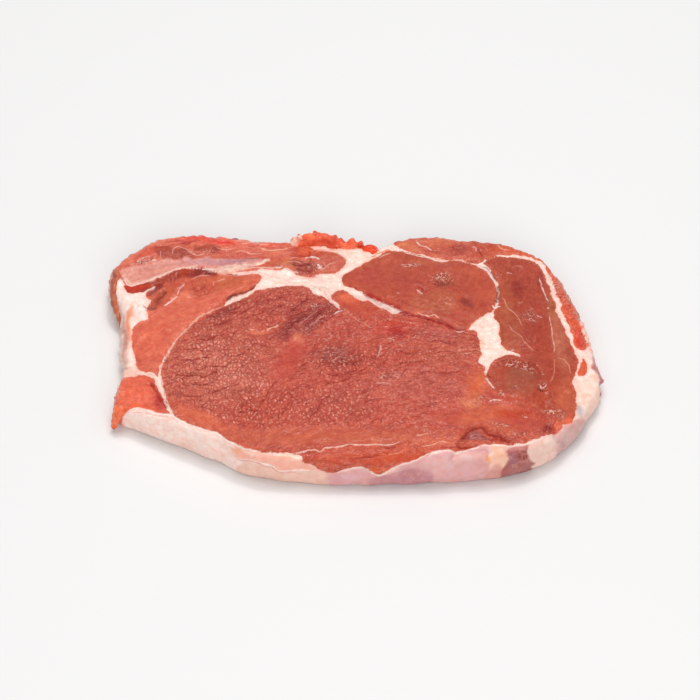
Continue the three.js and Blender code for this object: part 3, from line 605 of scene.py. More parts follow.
SEAMS = [Seam(depth, width, step, drawn(*numbers)) for depth, width, step, *numbers in (
    (0.5, 1.4, 0.6, -69, -50, -73.5, -37, -74.6, -24, -70, -10, -59, 5, -48, 14.5, -37, 21),
    (0.5, 2.6, 0.3, -38, 24, -22, 25, -10, 22, -5, 14, 3, 15),
    (0.4, 1.1, 0.15, 3, 18, 12, 14, 22, 7.5, 34, 2, 45, -4.4),
    (0.5, 1.4, -0.5, 52, 34.2, 58, 30, 60.6, 21, 59.4, 12, 55, 6),
    (0.6, 1.6, 0.5, 56, 37, 48, 36.4, 38, 37, 29, 40, 20, 44),
    (0.4, 3.0, 0.3, 57, 6, 57, -10, 55, -22, 54, -32),
    (0.5, 1.6, -0.4, 58, 40, 72, 39.5, 79, 35, 82, 22, 85, 8, 89, -12, 90, -31),
    (0.2, 1.8, 0.2, -94, 20.6, -88, 20.4, -83, 21.2, -76, 26, -69, 29.2, -60, 30.2, -50, 29.6, -40, 29.8),
    (0.7, 2.6, 0.4, -92, 33.4, -84, 36.4, -76, 38.4, -60, 39.6, -44, 40, -30, 41),
    (0.7, 2.0, 0.6, -34, 31, -22, 29, -12, 28, -3, 32, -1.6, 38, -6, 44, -16, 45),
    (0.5, 1.6, 0.7, -83, -30, -78, -34, -74.5, -41, -70, -50),
    (0.5, 1.3, 0.8, -45, -67.6, -30, -71.3, -16, -70.9, 0, -67.4, 20, -65.4),
    (0.6, 2.2, 0.3, 57, -24, 66, -22, 74, -28, 76, -38, 77, -52),
    (0.8, 1.4, 0.8, -83.5, 14, -81.5, 18.6, -77, 23),
    (0.8, 1.4, 0.8, -80.8, 9, -78.6, 14, -76, 20),
    (0.5, 1.2, 0.6, -76.6, 9, -73, 13.4, -70.4, 18, -67.6, 25),
    (0.6, 1.2, 0.7, -66, 16.6, -60, 16, -56.4, 20, -55, 25),
    (0.5, 1.0, 0.6, -66, 22, -63, 19, -60, 20.6, -60, 25),
    (0.9, 1.1, 0.9, -50.6, 13, -45, 17.4, -38.6, 21.4),
    (0.4, 1.4, 0.4, -86.5, -14, -84.6, -19.4, -81.6, -25.4),
    (0.9, 1.4, 1.2, 43, -65.4, 45.6, -61, 50, -57.8, 55.5, -61.6, 62, -65.4),
    (0.8, 1.1, 0.5, 59, -23, 64, -22.4, 69, -22.6, 73.6, -26, 75.4, -31),
    (0.6, 1.2, 0.5, 44, -44, 50, -46, 54, -44.4, 60, -44.4),
    (0.8, 1.3, 1.1, -47, -68.6, -42.6, -74.4, -32, -77.6, -27, -80.9, -12, -81.4),
    (0.6, 0.9, 0.5, -14, -78, -8, -83, -3, -88),
    (0.6, 0.9, 0.6, 55, -66, 53.5, -74, 57.6, -79.6, 59.6, -84),
    (0.6, 0.9, -0.6, 60.5, -66, 60.2, -75, 60, -84),
    (0.6, 0.9, 0.6, 68.6, -66, 70, -72, 73.4, -78),
    (0.5, 0.9, -0.5, 79, -60.6, 80.8, -67, 82, -72),
    (0.7, 1.2, 0.6, 38.4, -76, 39.6, -73, 41, -70),
)]

HOLLOWS = [Spot(*numbers) for numbers in (
    (50, -61.4, 6, 2.2, 0, 0.7), (77, -57.5, 3, 3, 0, 1.3), (38.5, 25, 6, 3.6, -10, 0.6),
    (47, 11.5, 2.4, 3.8, 0, 0.3), (19, -6, 6, 5, 0, 0.35), (75.6, -36, 1.6, 1.6, 0, 0.7),
    (-11.6, 20.2, 1.4, 1.4, 0, 1.0), (-35, -5, 4.6, 2.6, 0, 0.5), (30.5, 18.6, 4, 2.6, -40, 0.3),
    (66.6, -21.6, 8, 2, -6, -0.9), (-84, -39, 5, 6, 0, -1.0), (-11, 36, 7, 5, 0, -0.8),
    (-12, 19, 4, 3.6, 0, -0.9), (-20, 37.5, 3, 2, 0, -0.6), (20, -35, 40, 26, 0, -0.6),
    (-55, -30, 16, 20, 0, -0.5), (-16, 2, 13, 5, 48, -0.6), (68, -32, 5, 5, 0, -0.5),
)]

MEAT_PATCHES = patchwork(
    (-53, -26, 21, 22, 10, "#d47565", 0.9), (-48, 2, 15, 8, 35, "#c66455", 0.7),
    (-52, 7, 10, 2.6, 38, "#984644", 0.85), (-24, 14, 18, 6.5, 8, "#bd584d", 0.85),
    Block(drawn(-29, -9, -23, -9, -15, -4, -9, 2, -5, 8, -9, 12, -16, 9, -22, 4, -27, -3),
          "#953f3d", 0.85, 2.2),
    (-23, 8, 6, 2.4, 50, "#9a423f", 0.75), (-35.4, -4.9, 3.4, 1.4, 0, "#ea8466", 0.8),
    (-24, -21, 15, 5.5, 72, "#c6574b", 0.85), (-5, -19.5, 10, 7, 0, "#9c443d", 0.85),
    (-20.5, -8.5, 2.0, 3.8, 0, "#df7a5f", 0.75), (-4, -6, 8, 6, 0, "#b9544c", 0.5),
    (0.5, 15, 7, 3, -30, "#e2694b", 0.9), (11, 9.5, 5, 2.2, -35, "#dd6a4d", 0.85),
    (6, 7.5, 8, 4, -20, "#c65745", 0.8), (18, -3, 7, 5, 0, "#c2483a", 0.8),
    (18.8, -6.0, 4.4, 3.4, 0, "#ac3222", 0.9), (38, -8, 12, 4.5, -14, "#b75c55", 0.8),
    (48.4, -8.5, 3.2, 4, 0, "#cf5f4a", 0.8), (40, -18, 14, 8, 0, "#c2604f", 0.8),
    (28, -34, 18, 10, 0, "#c4655a", 0.6), (-6, -44, 18, 9, 10, "#c9675b", 0.6),
    (-5, -63, 54, 5, 0, "#cb6751", 0.9), (-58, -53, 14, 4, -30, "#da6e54", 0.85),
    (8, -73, 26, 4.5, 0, "#cc5e4a", 0.9), (-6, -77, 10, 2.2, 0, "#cf6250", 0.7),
    (10, -80, 3.4, 2.2, 0, "#f0703e", 0.85), (22, -72, 12, 4, 10, "#cf5b41", 0.8),
    (36, -66, 10, 2.4, 4, "#dc6f54", 0.8),
    Block(drawn(43, -51, 52.5, -45, 59.5, -45, 66, -47, 63, -51, 53, -55, 44, -56), "#d46b51", 0.85, 2.0),
    (64, -50.5, 9, 2.6, 0, "#c64e3a", 0.8), (50, -34, 4.5, 8, -10, "#d96a49", 0.85),
    Block(drawn(44, -45, 46.5, -42.6, 49.5, -43.4, 51.4, -45.4, 48.5, -47.2, 45, -46.6),
          "#df8460", 0.7, 1.0),
    Block(drawn(46.5, -39.2, 50, -38.6, 50, -41.4, 47, -41.8), "#d6764f", 0.6, 1.0),
    (57, -64, 6, 1.5, -8, "#a8403a", 0.85), (58, -58.6, 7, 2.2, -18, "#cf6a52", 0.8),
    Block(drawn(62, -27, 67.5, -24.8, 72.5, -27, 74, -31, 73.5, -38, 69.5, -42, 64, -40.5, 61.6, -34),
          "#ab5c4a", 0.8, 1.8),
    (68, -28, 6, 3, 0, "#a5604c", 0.7), (67, -44, 5, 5, 0, "#bf5a47", 0.7),
    (77, -44, 7, 9, 0, "#b5503f", 0.8), (84.6, -42, 4, 11, -6, "#cc6a50", 0.8),
    (86, -54, 4, 2.6, 40, "#e2694f", 0.85), (81, -56, 3, 2.4, 20, "#de6346", 0.7),
    (68, 31, 9, 7, 0, "#b55648", 0.8),
    Block(drawn(66.8, 24, 70.4, 24.4, 72.4, 19, 70, 14.6, 66.4, 17), "#963f35", 0.75, 2.0),
    (64, 22, 2.6, 8, 0, "#b25c44", 0.7), (63.4, 6, 3, 7, -18, "#b9684b", 0.7),
    (76, 8, 4, 12, 0, "#b14e42", 0.6), (84, -6, 2.8, 20, 4, "#c5745e", 0.8),
    (82, 10, 2.2, 6, 0, "#a95c44", 0.8), (66, -6, 5, 9, 0, "#b25f4b", 0.7),
    (74, -8, 5, 9, 0, "#b04d40", 0.6), (16, 33, 13, 7, -12, "#c0604f", 0.8),
    Block(drawn(27.5, 15, 31, 17.6, 36, 20, 42, 18.5, 44, 14.5, 42, 8, 36.5, 5.6, 28, 8.4, 24.6, 12),
          "#b9634d", 0.75, 2.5),
    Block(drawn(34, 28, 37, 28.6, 40.5, 27.6, 43.4, 25, 43.6, 22.4, 41, 20.6, 37, 21.4, 34.6, 24),
          "#a3503f", 0.8, 1.3),
    (38.6, 23, 4.2, 1.5, -8, "#8a4038", 0.7),
    Block(drawn(44.8, 13, 47, 14.8, 48.8, 12, 48.2, 7.6, 46.4, 9.6), "#8e4440", 0.85, 1.4),
    (54, 20, 4, 11, 0, "#c25c4a", 0.85), (8, 27, 8, 5, -20, "#b8524b", 0.7),
    (24, 24, 7, 5, -20, "#b5524a", 0.6), (38, 33, 8, 2.4, -6, "#b9584c", 0.6),
    (47, 30, 7, 4, -10, "#c4604c", 0.7), (31, 35.5, 7, 2, 0, "#cc6a50", 0.6),
    (36, 48.6, 13, 2.4, 0, "#da785d", 0.85), (22, 47, 3, 2.4, 30, "#e2825f", 0.8),
    (46, 43.4, 5, 2.6, 0, "#a84f48", 0.8), (57, 44, 4.4, 3, 0, "#c0503e", 0.8),
    (26, 44.6, 3, 1.2, -30, "#e28464", 0.7), (-78, -12, 8, 12, 0, "#e4725b", 0.8),
    (-66, 10, 8, 6, 45, "#e0735d", 0.7),
    Block(drawn(-80, 9, -76, 10, -70, 18, -68, 24, -74, 25, -78, 21, -77, 17), "#c05c48", 0.8, 1.0),
    Block(drawn(-83, 8, -80, 9, -76, 17.6, -76.6, 20, -79.6, 19, -82, 14), "#a9574a", 0.8, 0.9),
    (-52, 24, 13, 4.2, 4, "#c9694c", 0.85),
    Block(drawn(-68, 27, -66, 20, -66, 16, -60, 16, -55.6, 20, -54.6, 25, -58, 28.4, -63, 28),
          "#c8604e", 0.8, 1.2),
    (-68, 15, 3.4, 3, 0, "#e8836a", 0.6), (-84.6, -21, 1.4, 3, 20, "#c25a4c", 0.8),
    Block(drawn(-77, -28.6, -75.6, -26, -75.2, -30, -75.4, -33.4), "#dc5a3c", 0.9, 0.5),
    (-75.2, -43, 1.8, 6, 27, "#b5352d", 0.85), (-83, -47.4, 6, 1.8, -6, "#f2643c", 0.85),
    (-84, -36, 6, 5, 0, "#ee7257", 0.6), (-89.6, -44, 1.8, 7, 0, "#f07a5c", 0.7),
    (-74, 26.6, 6, 1.5, 26, "#a84238", 0.6),
    Block(drawn(-100, 30, -96, 40, -88, 47, -79, 52, -68, 55, -50, 54, -24, 53, -24, 44.6, -42, 44.6,
          -56, 44, -68, 46.4, -78, 44.6, -85, 42, -90, 37, -94, 33), "#e47e67", 0.9, 1.0),
    (-62, 50.4, 20, 2.4, 0, "#e86a58", 0.85), (-40, 48, 12, 3, 0, "#ea7a68", 0.8),
    Block(drawn(-81, 45, -76.5, 45.4, -73.7, 45, -73.2, 39.3, -76.5, 39.1, -80, 40.4),
          "#ad5044", 0.85, 0.7),
    Block(drawn(-73, 44.4, -69.5, 44.6, -66.5, 42, -64.2, 40, -68.5, 38.8, -72.6, 39.2),
          "#a64e42", 0.85, 0.7),
    Block(drawn(-65, 46.6, -58, 46, -54, 44, -55.5, 42.2, -60, 42.8, -64, 43.6), "#a8483e", 0.8, 0.8),
    Block(drawn(-96, 30.6, -94, 28.4, -92.4, 24.6, -90.5, 22, -83.5, 24, -78.5, 26.6, -71, 31.4,
          -62.5, 32.4, -50, 33.2, -40.5, 34.6, -36, 37.6, -38, 39, -50, 39.2, -64.5, 38.7, -79.5, 37.7,
          -85, 34.8, -93, 32.6), "#e79f93", 0.95, 0.5),
    (-56, 36.4, 14, 2, 0, "#cd949c", 0.8), (-46, 38, 8, 1.5, 0, "#b58a97", 0.75),
    (-84, 29, 9, 2.4, 20, "#e89c8b", 0.6),
    Block(drawn(-61, 32.4, -57, 32.8, -50, 34.4, -44, 35, -39, 35.4, -36.4, 37.4, -33.2, 39, -32.4, 38.4,
          -35, 36, -38, 33.6, -43.5, 31.6, -48, 30, -54, 30.6, -60, 31.6), "#f4cdbd", 0.95, 0.4),
    Block(drawn(-36, 35, -34, 36.6, -29.5, 37.8, -25, 38, -25, 36, -27, 34.2, -32, 34),
          "#cd6a50", 0.9, 0.6),
    Block(drawn(-25, 36.4, -20, 36.8, -14.5, 35, -13.5, 32, -15.5, 28.8, -19.5, 28.4, -22, 30.4),
          "#a34a41", 0.9, 0.7),
    Block(drawn(-24.6, 44, -20.5, 44.4, -15.8, 43, -16, 40, -20, 38.8, -24.6, 39.8), "#bf4537", 0.85, 0.9),
    (-26, 34, 4, 1.5, -10, "#cf7c66", 0.7), (-31, 42.4, 8, 3, -6, "#d9745f", 0.8),
    (-9, 37, 6, 5, 0, "#cd6c5d", 0.7), (-18, 42, 4.4, 1.8, -8, "#e46c4c", 0.85),
    (8, 45.6, 3.6, 2.8, 0, "#ee4a2c", 0.9), (-14, 50, 7, 4, 0, "#ef7350", 0.7),
    Block(drawn(91, -3.5, 93, -2.5, 94.6, -5, 93.6, -13.8, 91.5, -13.8, 90, -8.5), "#e0442c", 0.9, 0.9),
    (93, 8, 3, 16, 8, "#d86f5c", 0.6), (87, 22, 2.4, 9, 20, "#d0665a", 0.6),
)

# Tones laid over the meat last: shade painted in clefts, grooves and hollows, red tones under the lip, and
# red and pale streaks on the rib strip and outer strip.
CLEFT_SHADE_AND_STREAK_PATCHES = patchwork(
    Block(drawn(-92.4, 21.4, -91.7, 19.3, -87.8, 18.8, -84.8, 20.2, -80.8, 21.8, -76.8, 24.6, -73.6, 26.6,
          -70.8, 27.7, -66, 28, -62, 29.4, -58, 30.2, -62.5, 31.4, -66.5, 31.8, -71, 31, -75, 28.8,
          -78.5, 26.4, -83.5, 23.8, -87.5, 22.6, -90.8, 22), "#b04a36", 0.9, 0.7),
    Block(drawn(-92.2, 21.8, -91.5, 18.8, -87, 18.4, -83, 20.2, -81.6, 22, -86, 22.4), "#c94a36", 0.9, 0.5),
    # painted shade in the gap under the lip's end
    Block(drawn(-67, 28.8, -63, 28.8, -57, 29.2, -54, 30, -58, 31, -64, 30.8), "#86322a", 0.75, 0.7),
    # painted shade on the left muscle's wall that faces the front
    Block(drawn(-50.4, 13.6, -49.4, 15.6, -46, 17.6, -42, 19.6, -38.4, 22.4, -39, 20.4, -43, 17.6, -47, 15),
          "#7c2a28", 0.9, 0.4),
    # this block and the next: painted shade in the groove below the triangle
    Block(drawn(20, 8.4, 26, 6.2, 32, 3.6, 38.6, 0.6, 43.4, -2.2, 46.8, -4, 46, -4.8, 42, -2.8, 36, 0.6,
          30, 3.2, 25, 5.4, 20, 7.6), "#a02a1c", 0.85, 0.4),
    Block(drawn(-1, 22.4, 6, 18.4, 12, 14.9, 20, 9.6, 20, 8.2, 12, 13.2, 5, 17, -1, 21),
          "#a8301f", 0.75, 0.4),
    Block(drawn(44.5, -63.2, 46, -60, 49.5, -58.5, 52.4, -60.4, 54, -63, 48, -64), "#9c5552", 0.85, 0.8),
    # the first spot is painted shade in the deep hollow; the rest are red and pale streaks
    (77, -57, 2.2, 2.2, 0, "#8c2c28", 0.85), (-64.5, 51.8, 8, 1.9, 0, "#ea3f35", 0.8),
    (-53.4, 47.8, 7, 2.4, -8, "#e84137", 0.75), (-69, 48.4, 6, 1, 8, "#b82a22", 0.8),
    (-48, 51.4, 3, 1.2, 0, "#b81d20", 0.95), (-85, 41, 6, 1.6, 34, "#d9503f", 0.6),
    (-32, 46.4, 6, 1.4, -6, "#e0503f", 0.6), (-78, 49, 7, 1.2, 24, "#ee8f7c", 0.6),
    (-42, 50.4, 8, 1.1, 0, "#f09c8a", 0.6), (66, 42.4, 5, 1.1, -8, "#e2694b", 0.7),
    (84, 28, 1.4, 6, 14, "#e0583c", 0.7), (89, 10, 2.0, 14, 10, "#e0573c", 0.8),
)

FAT_PATCHES = patchwork(
    (-88, 12, 6, 7, 0, "#fdeee6", 0.8), (-86, 2, 3, 4, 0, "#fbe9e2", 0.7),
    (-89.2, 4.4, 1.3, 7, -4, "#ee9566", 0.85), (-89.6, -4, 1.1, 7, 0, "#ea8c66", 0.85),
    (-91.6, -8, 1.4, 11, 0, "#b97461", 0.85), (-90, -20, 1.4, 5, 0, "#c98a7c", 0.6),
    (-87, -27, 4, 2.4, 0, "#edbfae", 0.8), (-4, 26, 12, 7, 0, "#fdeadd", 0.8),
    (4, 38, 7, 8, 0, "#fce4d6", 0.8), (-9, 45, 9, 2, 0, "#f5c9b4", 0.7),
    (-7, 18.6, 4, 2.4, 0, "#f6d6c2", 0.6), (-14, 19, 2.6, 2.6, 0, "#fbeee6", 0.8),
    (-14, 26, 5, 2, 0, "#f2c4b8", 0.5), (-28, 27, 9, 2.4, 0, "#fbe0d4", 0.7),
    (54, -8, 5, 14, 0, "#fee4d6", 0.8), (53.4, -10, 1.0, 4, 0, "#f2b693", 0.6),
    Block(drawn(1, 18, 5, 16.6, 12, 13, 20, 7.6, 20, 5, 16, 3.6, 11, 8, 7, 12.6, 2, 13),
          "#ead0c9", 0.85, 0.8),
    Block(drawn(-95, -40, -60, -54, -45, -64, -20, -75, -12, -79, -10, -92, -60, -92, -110, -70, -100, -44),
          "#f9e5dc", 1.0, 1.5),
    (-82, -56, 9, 3, -24, "#fbe6dc", 0.7), (-60, -68, 12, 3, -24, "#f7dace", 0.7),
    Block(drawn(-46.5, -67, -43, -68.6, -37, -71, -31, -72.6, -19, -75, -12, -80, -19, -79.6, -27, -80,
          -32.5, -77, -42.5, -74, -45, -71), "#f3b7a3", 0.9, 0.7),
    Block(drawn(-27, -80.9, -19, -80, -11, -81, -8, -84, -8, -90, -44, -90, -44, -78, -38, -76),
          "#edc9b8", 0.9, 1.0),
    (-44.5, -70.6, 2.6, 2, -25, "#f5b796", 0.7), (-22, -72.6, 4.4, 1.3, 0, "#fbe3cf", 0.9),
    Block(drawn(-12, -79, -5, -81, 5, -77, 11, -82, 20, -77, 35, -70, 50, -67, 54, -66, 54, -80, 60, -92,
          -4, -94, -9, -84), "#deb0b0", 1.0, 0.8),
    Block(drawn(8, -84.4, 11.5, -83.2, 17, -81.7, 27, -78, 31, -80, 30, -92, 8, -92), "#bf8890", 0.85, 1.2),
    (36, -77, 8, 3.4, 12, "#e6bfbd", 0.7), (46, -72, 6, 3, 0, "#e9c3be", 0.7),
    (-2, -84, 6, 3, 0, "#dcafb8", 0.7),
    Block(drawn(54.6, -66, 59.4, -66, 60.3, -69, 60.6, -72, 60.2, -78, 59.6, -80.7, 57.4, -78.4,
          55.2, -76.8, 53, -74.8, 54.3, -73.6, 54.9, -70.5), "#f4c6ae", 1.0, 0.35),
    (53.9, -73.2, 1.0, 2.2, 10, "#f2a568", 0.9),
    Block(drawn(55.4, -77.4, 58.5, -78.6, 59.8, -81, 59.6, -92, 53.6, -92, 54, -82), "#dba197", 0.9, 0.7),
    Block(drawn(60.4, -68.6, 67.5, -67.2, 68.6, -69.5, 69.6, -72, 72.2, -76.4, 70.5, -79, 70, -92, 60, -92,
          59.6, -79.5, 60.6, -74.5), "#ab6c68", 1.0, 0.4),
    (66.6, -72.6, 3.4, 2.4, 0, "#97504c", 0.75), (62.6, -75, 1.6, 4, 0, "#a37482", 0.7),
    (64, -80.6, 6, 1.8, 8, "#b5706c", 0.7),
    Block(drawn(60.6, -67, 64, -66.8, 68.6, -66.4, 68.6, -68.6, 62, -69), "#cf8f86", 0.8, 0.5),
    Block(drawn(68.5, -66.4, 75, -62.6, 78.6, -61, 80.6, -66.5, 81.2, -68.6, 77.5, -72, 73.6, -77.2,
          72.2, -75.6, 69.4, -72, 68.8, -68.5), "#ecd0c4", 1.0, 0.4),
    Block(drawn(78.8, -61, 85.5, -54.5, 92, -52, 99, -58, 88, -74, 80, -74, 81.2, -68.5),
          "#dab8b4", 1.0, 0.6),
    (82.6, -66.4, 2.6, 3, 40, "#bf8f90", 0.7), (88, -60, 3, 6, 30, "#cfa3a2", 0.6),
    (94, -38, 7, 9, 0, "#f6dccb", 0.9),
    Block(drawn(96, -23, 98, -26, 100.6, -33, 104, -40, 104, -20, 98, -18), "#b8656a", 0.85, 0.8),
    (90.4, -47, 1.2, 3.4, 0, "#b9b3bb", 0.85), (91, -54, 2, 4, 20, "#cf8f8c", 0.5),
    (96, -6, 2.2, 12, 0, "#fbe3da", 0.85), (95, -22, 1.6, 8, 0, "#fbe6dc", 0.8),
    (97, -30, 2, 3, 0, "#f1cdb8", 0.7),
)

CRINKLE_PATCHES = [Spot(*numbers) for numbers in (
    (-50, -28, 22, 24, 0, 1.0, 0.9), (30, -34, 26, 14, 0, 0.6, 0.8), (-8, -62.6, 52, 5.4, 0, 0.06),
    (-58, -53, 16, 4.0, -32, 0.12), (-24, -21, 16, 5.5, 72, 0.1, 0.95), (-5, -20, 9, 8, 0, 1.0, 0.8),
    (2, 10, 10, 5, -28, 0.1), (17, -3, 6, 4, 0, 0.05), (10, -73, 30, 4, 0, 0.25),
    (48, -52, 18, 5, -3, 0.06), (64, -52, 14, 9, -14, 0.06), (58, -42, 12, 5, 0, 0.1, 0.9),
    (50, -34, 4, 8, 0, 0.15, 0.8), (38, 26, 6, 4, -10, 1.0, 0.9), (50, -61, 6, 2.4, 0, 0.5),
    (67, -34, 7, 7, 0, 0.12), (-62, 35, 34, 4.5, 5, 0.06), (-35.4, -5, 4, 1.8, 0, 0.1, 0.9),
)]

COBBLED_PATCHES = [Spot(*numbers) for numbers in (
    (-52, -20, 26, 34, 0, 1.0), (-12, -46, 26, 12, 8, 1.0), (-44, -46, 20, 12, -20, 1.0),
    (2, -22, 16, 9, 10, 0.9), (24, -22, 12, 8, 0, 0.8), (-30, 12, 18, 8, 10, 0.7),
)]

# wet places are glossier and get glints painted into their colour
WET_PATCHES = [Spot(*numbers) for numbers in (
    (38, 5, 12, 4, -26, 0.0), (19, -4.6, 6, 4.4, 0, 0.1), (15.6, -10, 2.4, 1.0, 0, 1.0),
    (21.4, -11.6, 2.0, 1.8, 0, 1.0), (25, 33.5, 5, 1.8, 0, 1.0), (38, 27.6, 4.6, 2.2, 0, 1.0),
    (28.2, 18, 1.4, 2.4, 0, 0.9), (80, -49.6, 5.5, 2.2, -14, 1.0), (68, -52.3, 2.2, 1.5, -30, 1.0),
    (69, -59.8, 2.6, 1.2, 10, 1.0), (58.4, -56.6, 6, 1.3, -8, 1.0), (64.6, -60.6, 2.6, 1.4, -10, 1.0),
    (51.6, -42.6, 3, 2.2, 40, 1.0), (70, -25, 4, 1.6, -40, 1.0), (59.8, -40, 1.8, 1.6, -40, 1.0),
    (67, -22.6, 8, 1.8, -10, 1.0), (76, -35, 2.4, 1.8, 0, 1.0), (73, 4, 5, 4, 0, 0.8),
    (72, -9, 5, 6, 0, 0.6), (79, 22, 3, 12, 0, 0.5), (88, 16, 3, 22, 24, 0.9), (-13, 32.6, 5, 3, 20, 0.9),
    (-29.4, 33, 3, 1.2, 0, 1.0), (-84, 37.6, 5, 2, 24, 0.9), (-64, 42, 14, 3, 0, 0.7),
    (-50, -60, 34, 4, -20, 0.5), (30, -63, 22, 3, 0, 0.6), (-14.6, 9.6, 2.4, 1.8, 0, 1.0),
    (-14, 0, 12, 5, 50, 0.7), (-5, -19, 9, 5, 0, 0.72), (16, -30, 7, 4, 0, 0.8), (28, -12, 8, 5, 0, 0.5),
    (90, 16, 4, 20, 15, 0.7), (-50, -25, 20, 20, 0, 0.5), (34, -46, 5, 2, 0, 0.7),
)]

RUNS = [Run(*numbers) for numbers in (
    (-58, -24, 2), (-60, -10, 8), (-50, 1, 25), (-42, 11, 36), (-60, -38, 4), (-28, 15, 12), (-16, 2, 50),
    (-36, -6, 20), (-34, -24, 30), (-36, -44, 66), (-14, -46, 62), (-8, -28, 26), (8, -14, 20),
    (12, -32, 14), (30, -16, 6), (42, -22, 4), (30, -34, 22), (10, -46, 30), (-6, -63, 3), (36, -52, 6),
    (6, -73, 4), (36, -66, 8), (-76, -10, 58), (-68, 8, 48), (-58, 24, 14), (-84, -38, -40, 10),
    (-90, 36, 34, 10), (-72, 46, 8), (-50, 44, -2), (-66, 36, 6), (-28, 42, -8), (-10, 37, 24, 8),
    (12, 28, -18), (34, 14, -24), (50, 22, 60, 10), (32, 47, -6), (52, 44, 8, 10), (70, 26, 82),
    (68, 4, 74), (80, -8, 88), (66, -30, 70), (78, -44, 86), (88, 16, 114, 10), (93, -6, 100, 8),
    (62, -56, -16),
)]


# The slice


class Zone(Enum):
    """The three parts of the slice's skin."""

    FACE = 0
    WALL = 1
    BASE = 2


@dataclass
class Skin:
    """The slice's skin as rows of points, with what each point knows of itself.

    seen is where the point is drawn, outward the way out of the wall next to it, and inside
    how far it lies from the rim.
    """

    place: Array
    seen: Array
    outward: Array
    inside: Array
    zone: Array

    def lies_in(self, zone: Zone) -> Array:
        """Whether each point lies in a part of the skin."""
        return self.zone == zone.value

    def picked(self, rows: Array) -> "Skin":
        """Some of the points."""
        return Skin(*(values[rows] for values in vars(self).values()))

    @staticmethod
    def joined(*parts: "Skin") -> "Skin":
        """Several parts of the skin as one."""
        return Skin(*map(np.concatenate, zip(*(vars(part).values() for part in parts))))


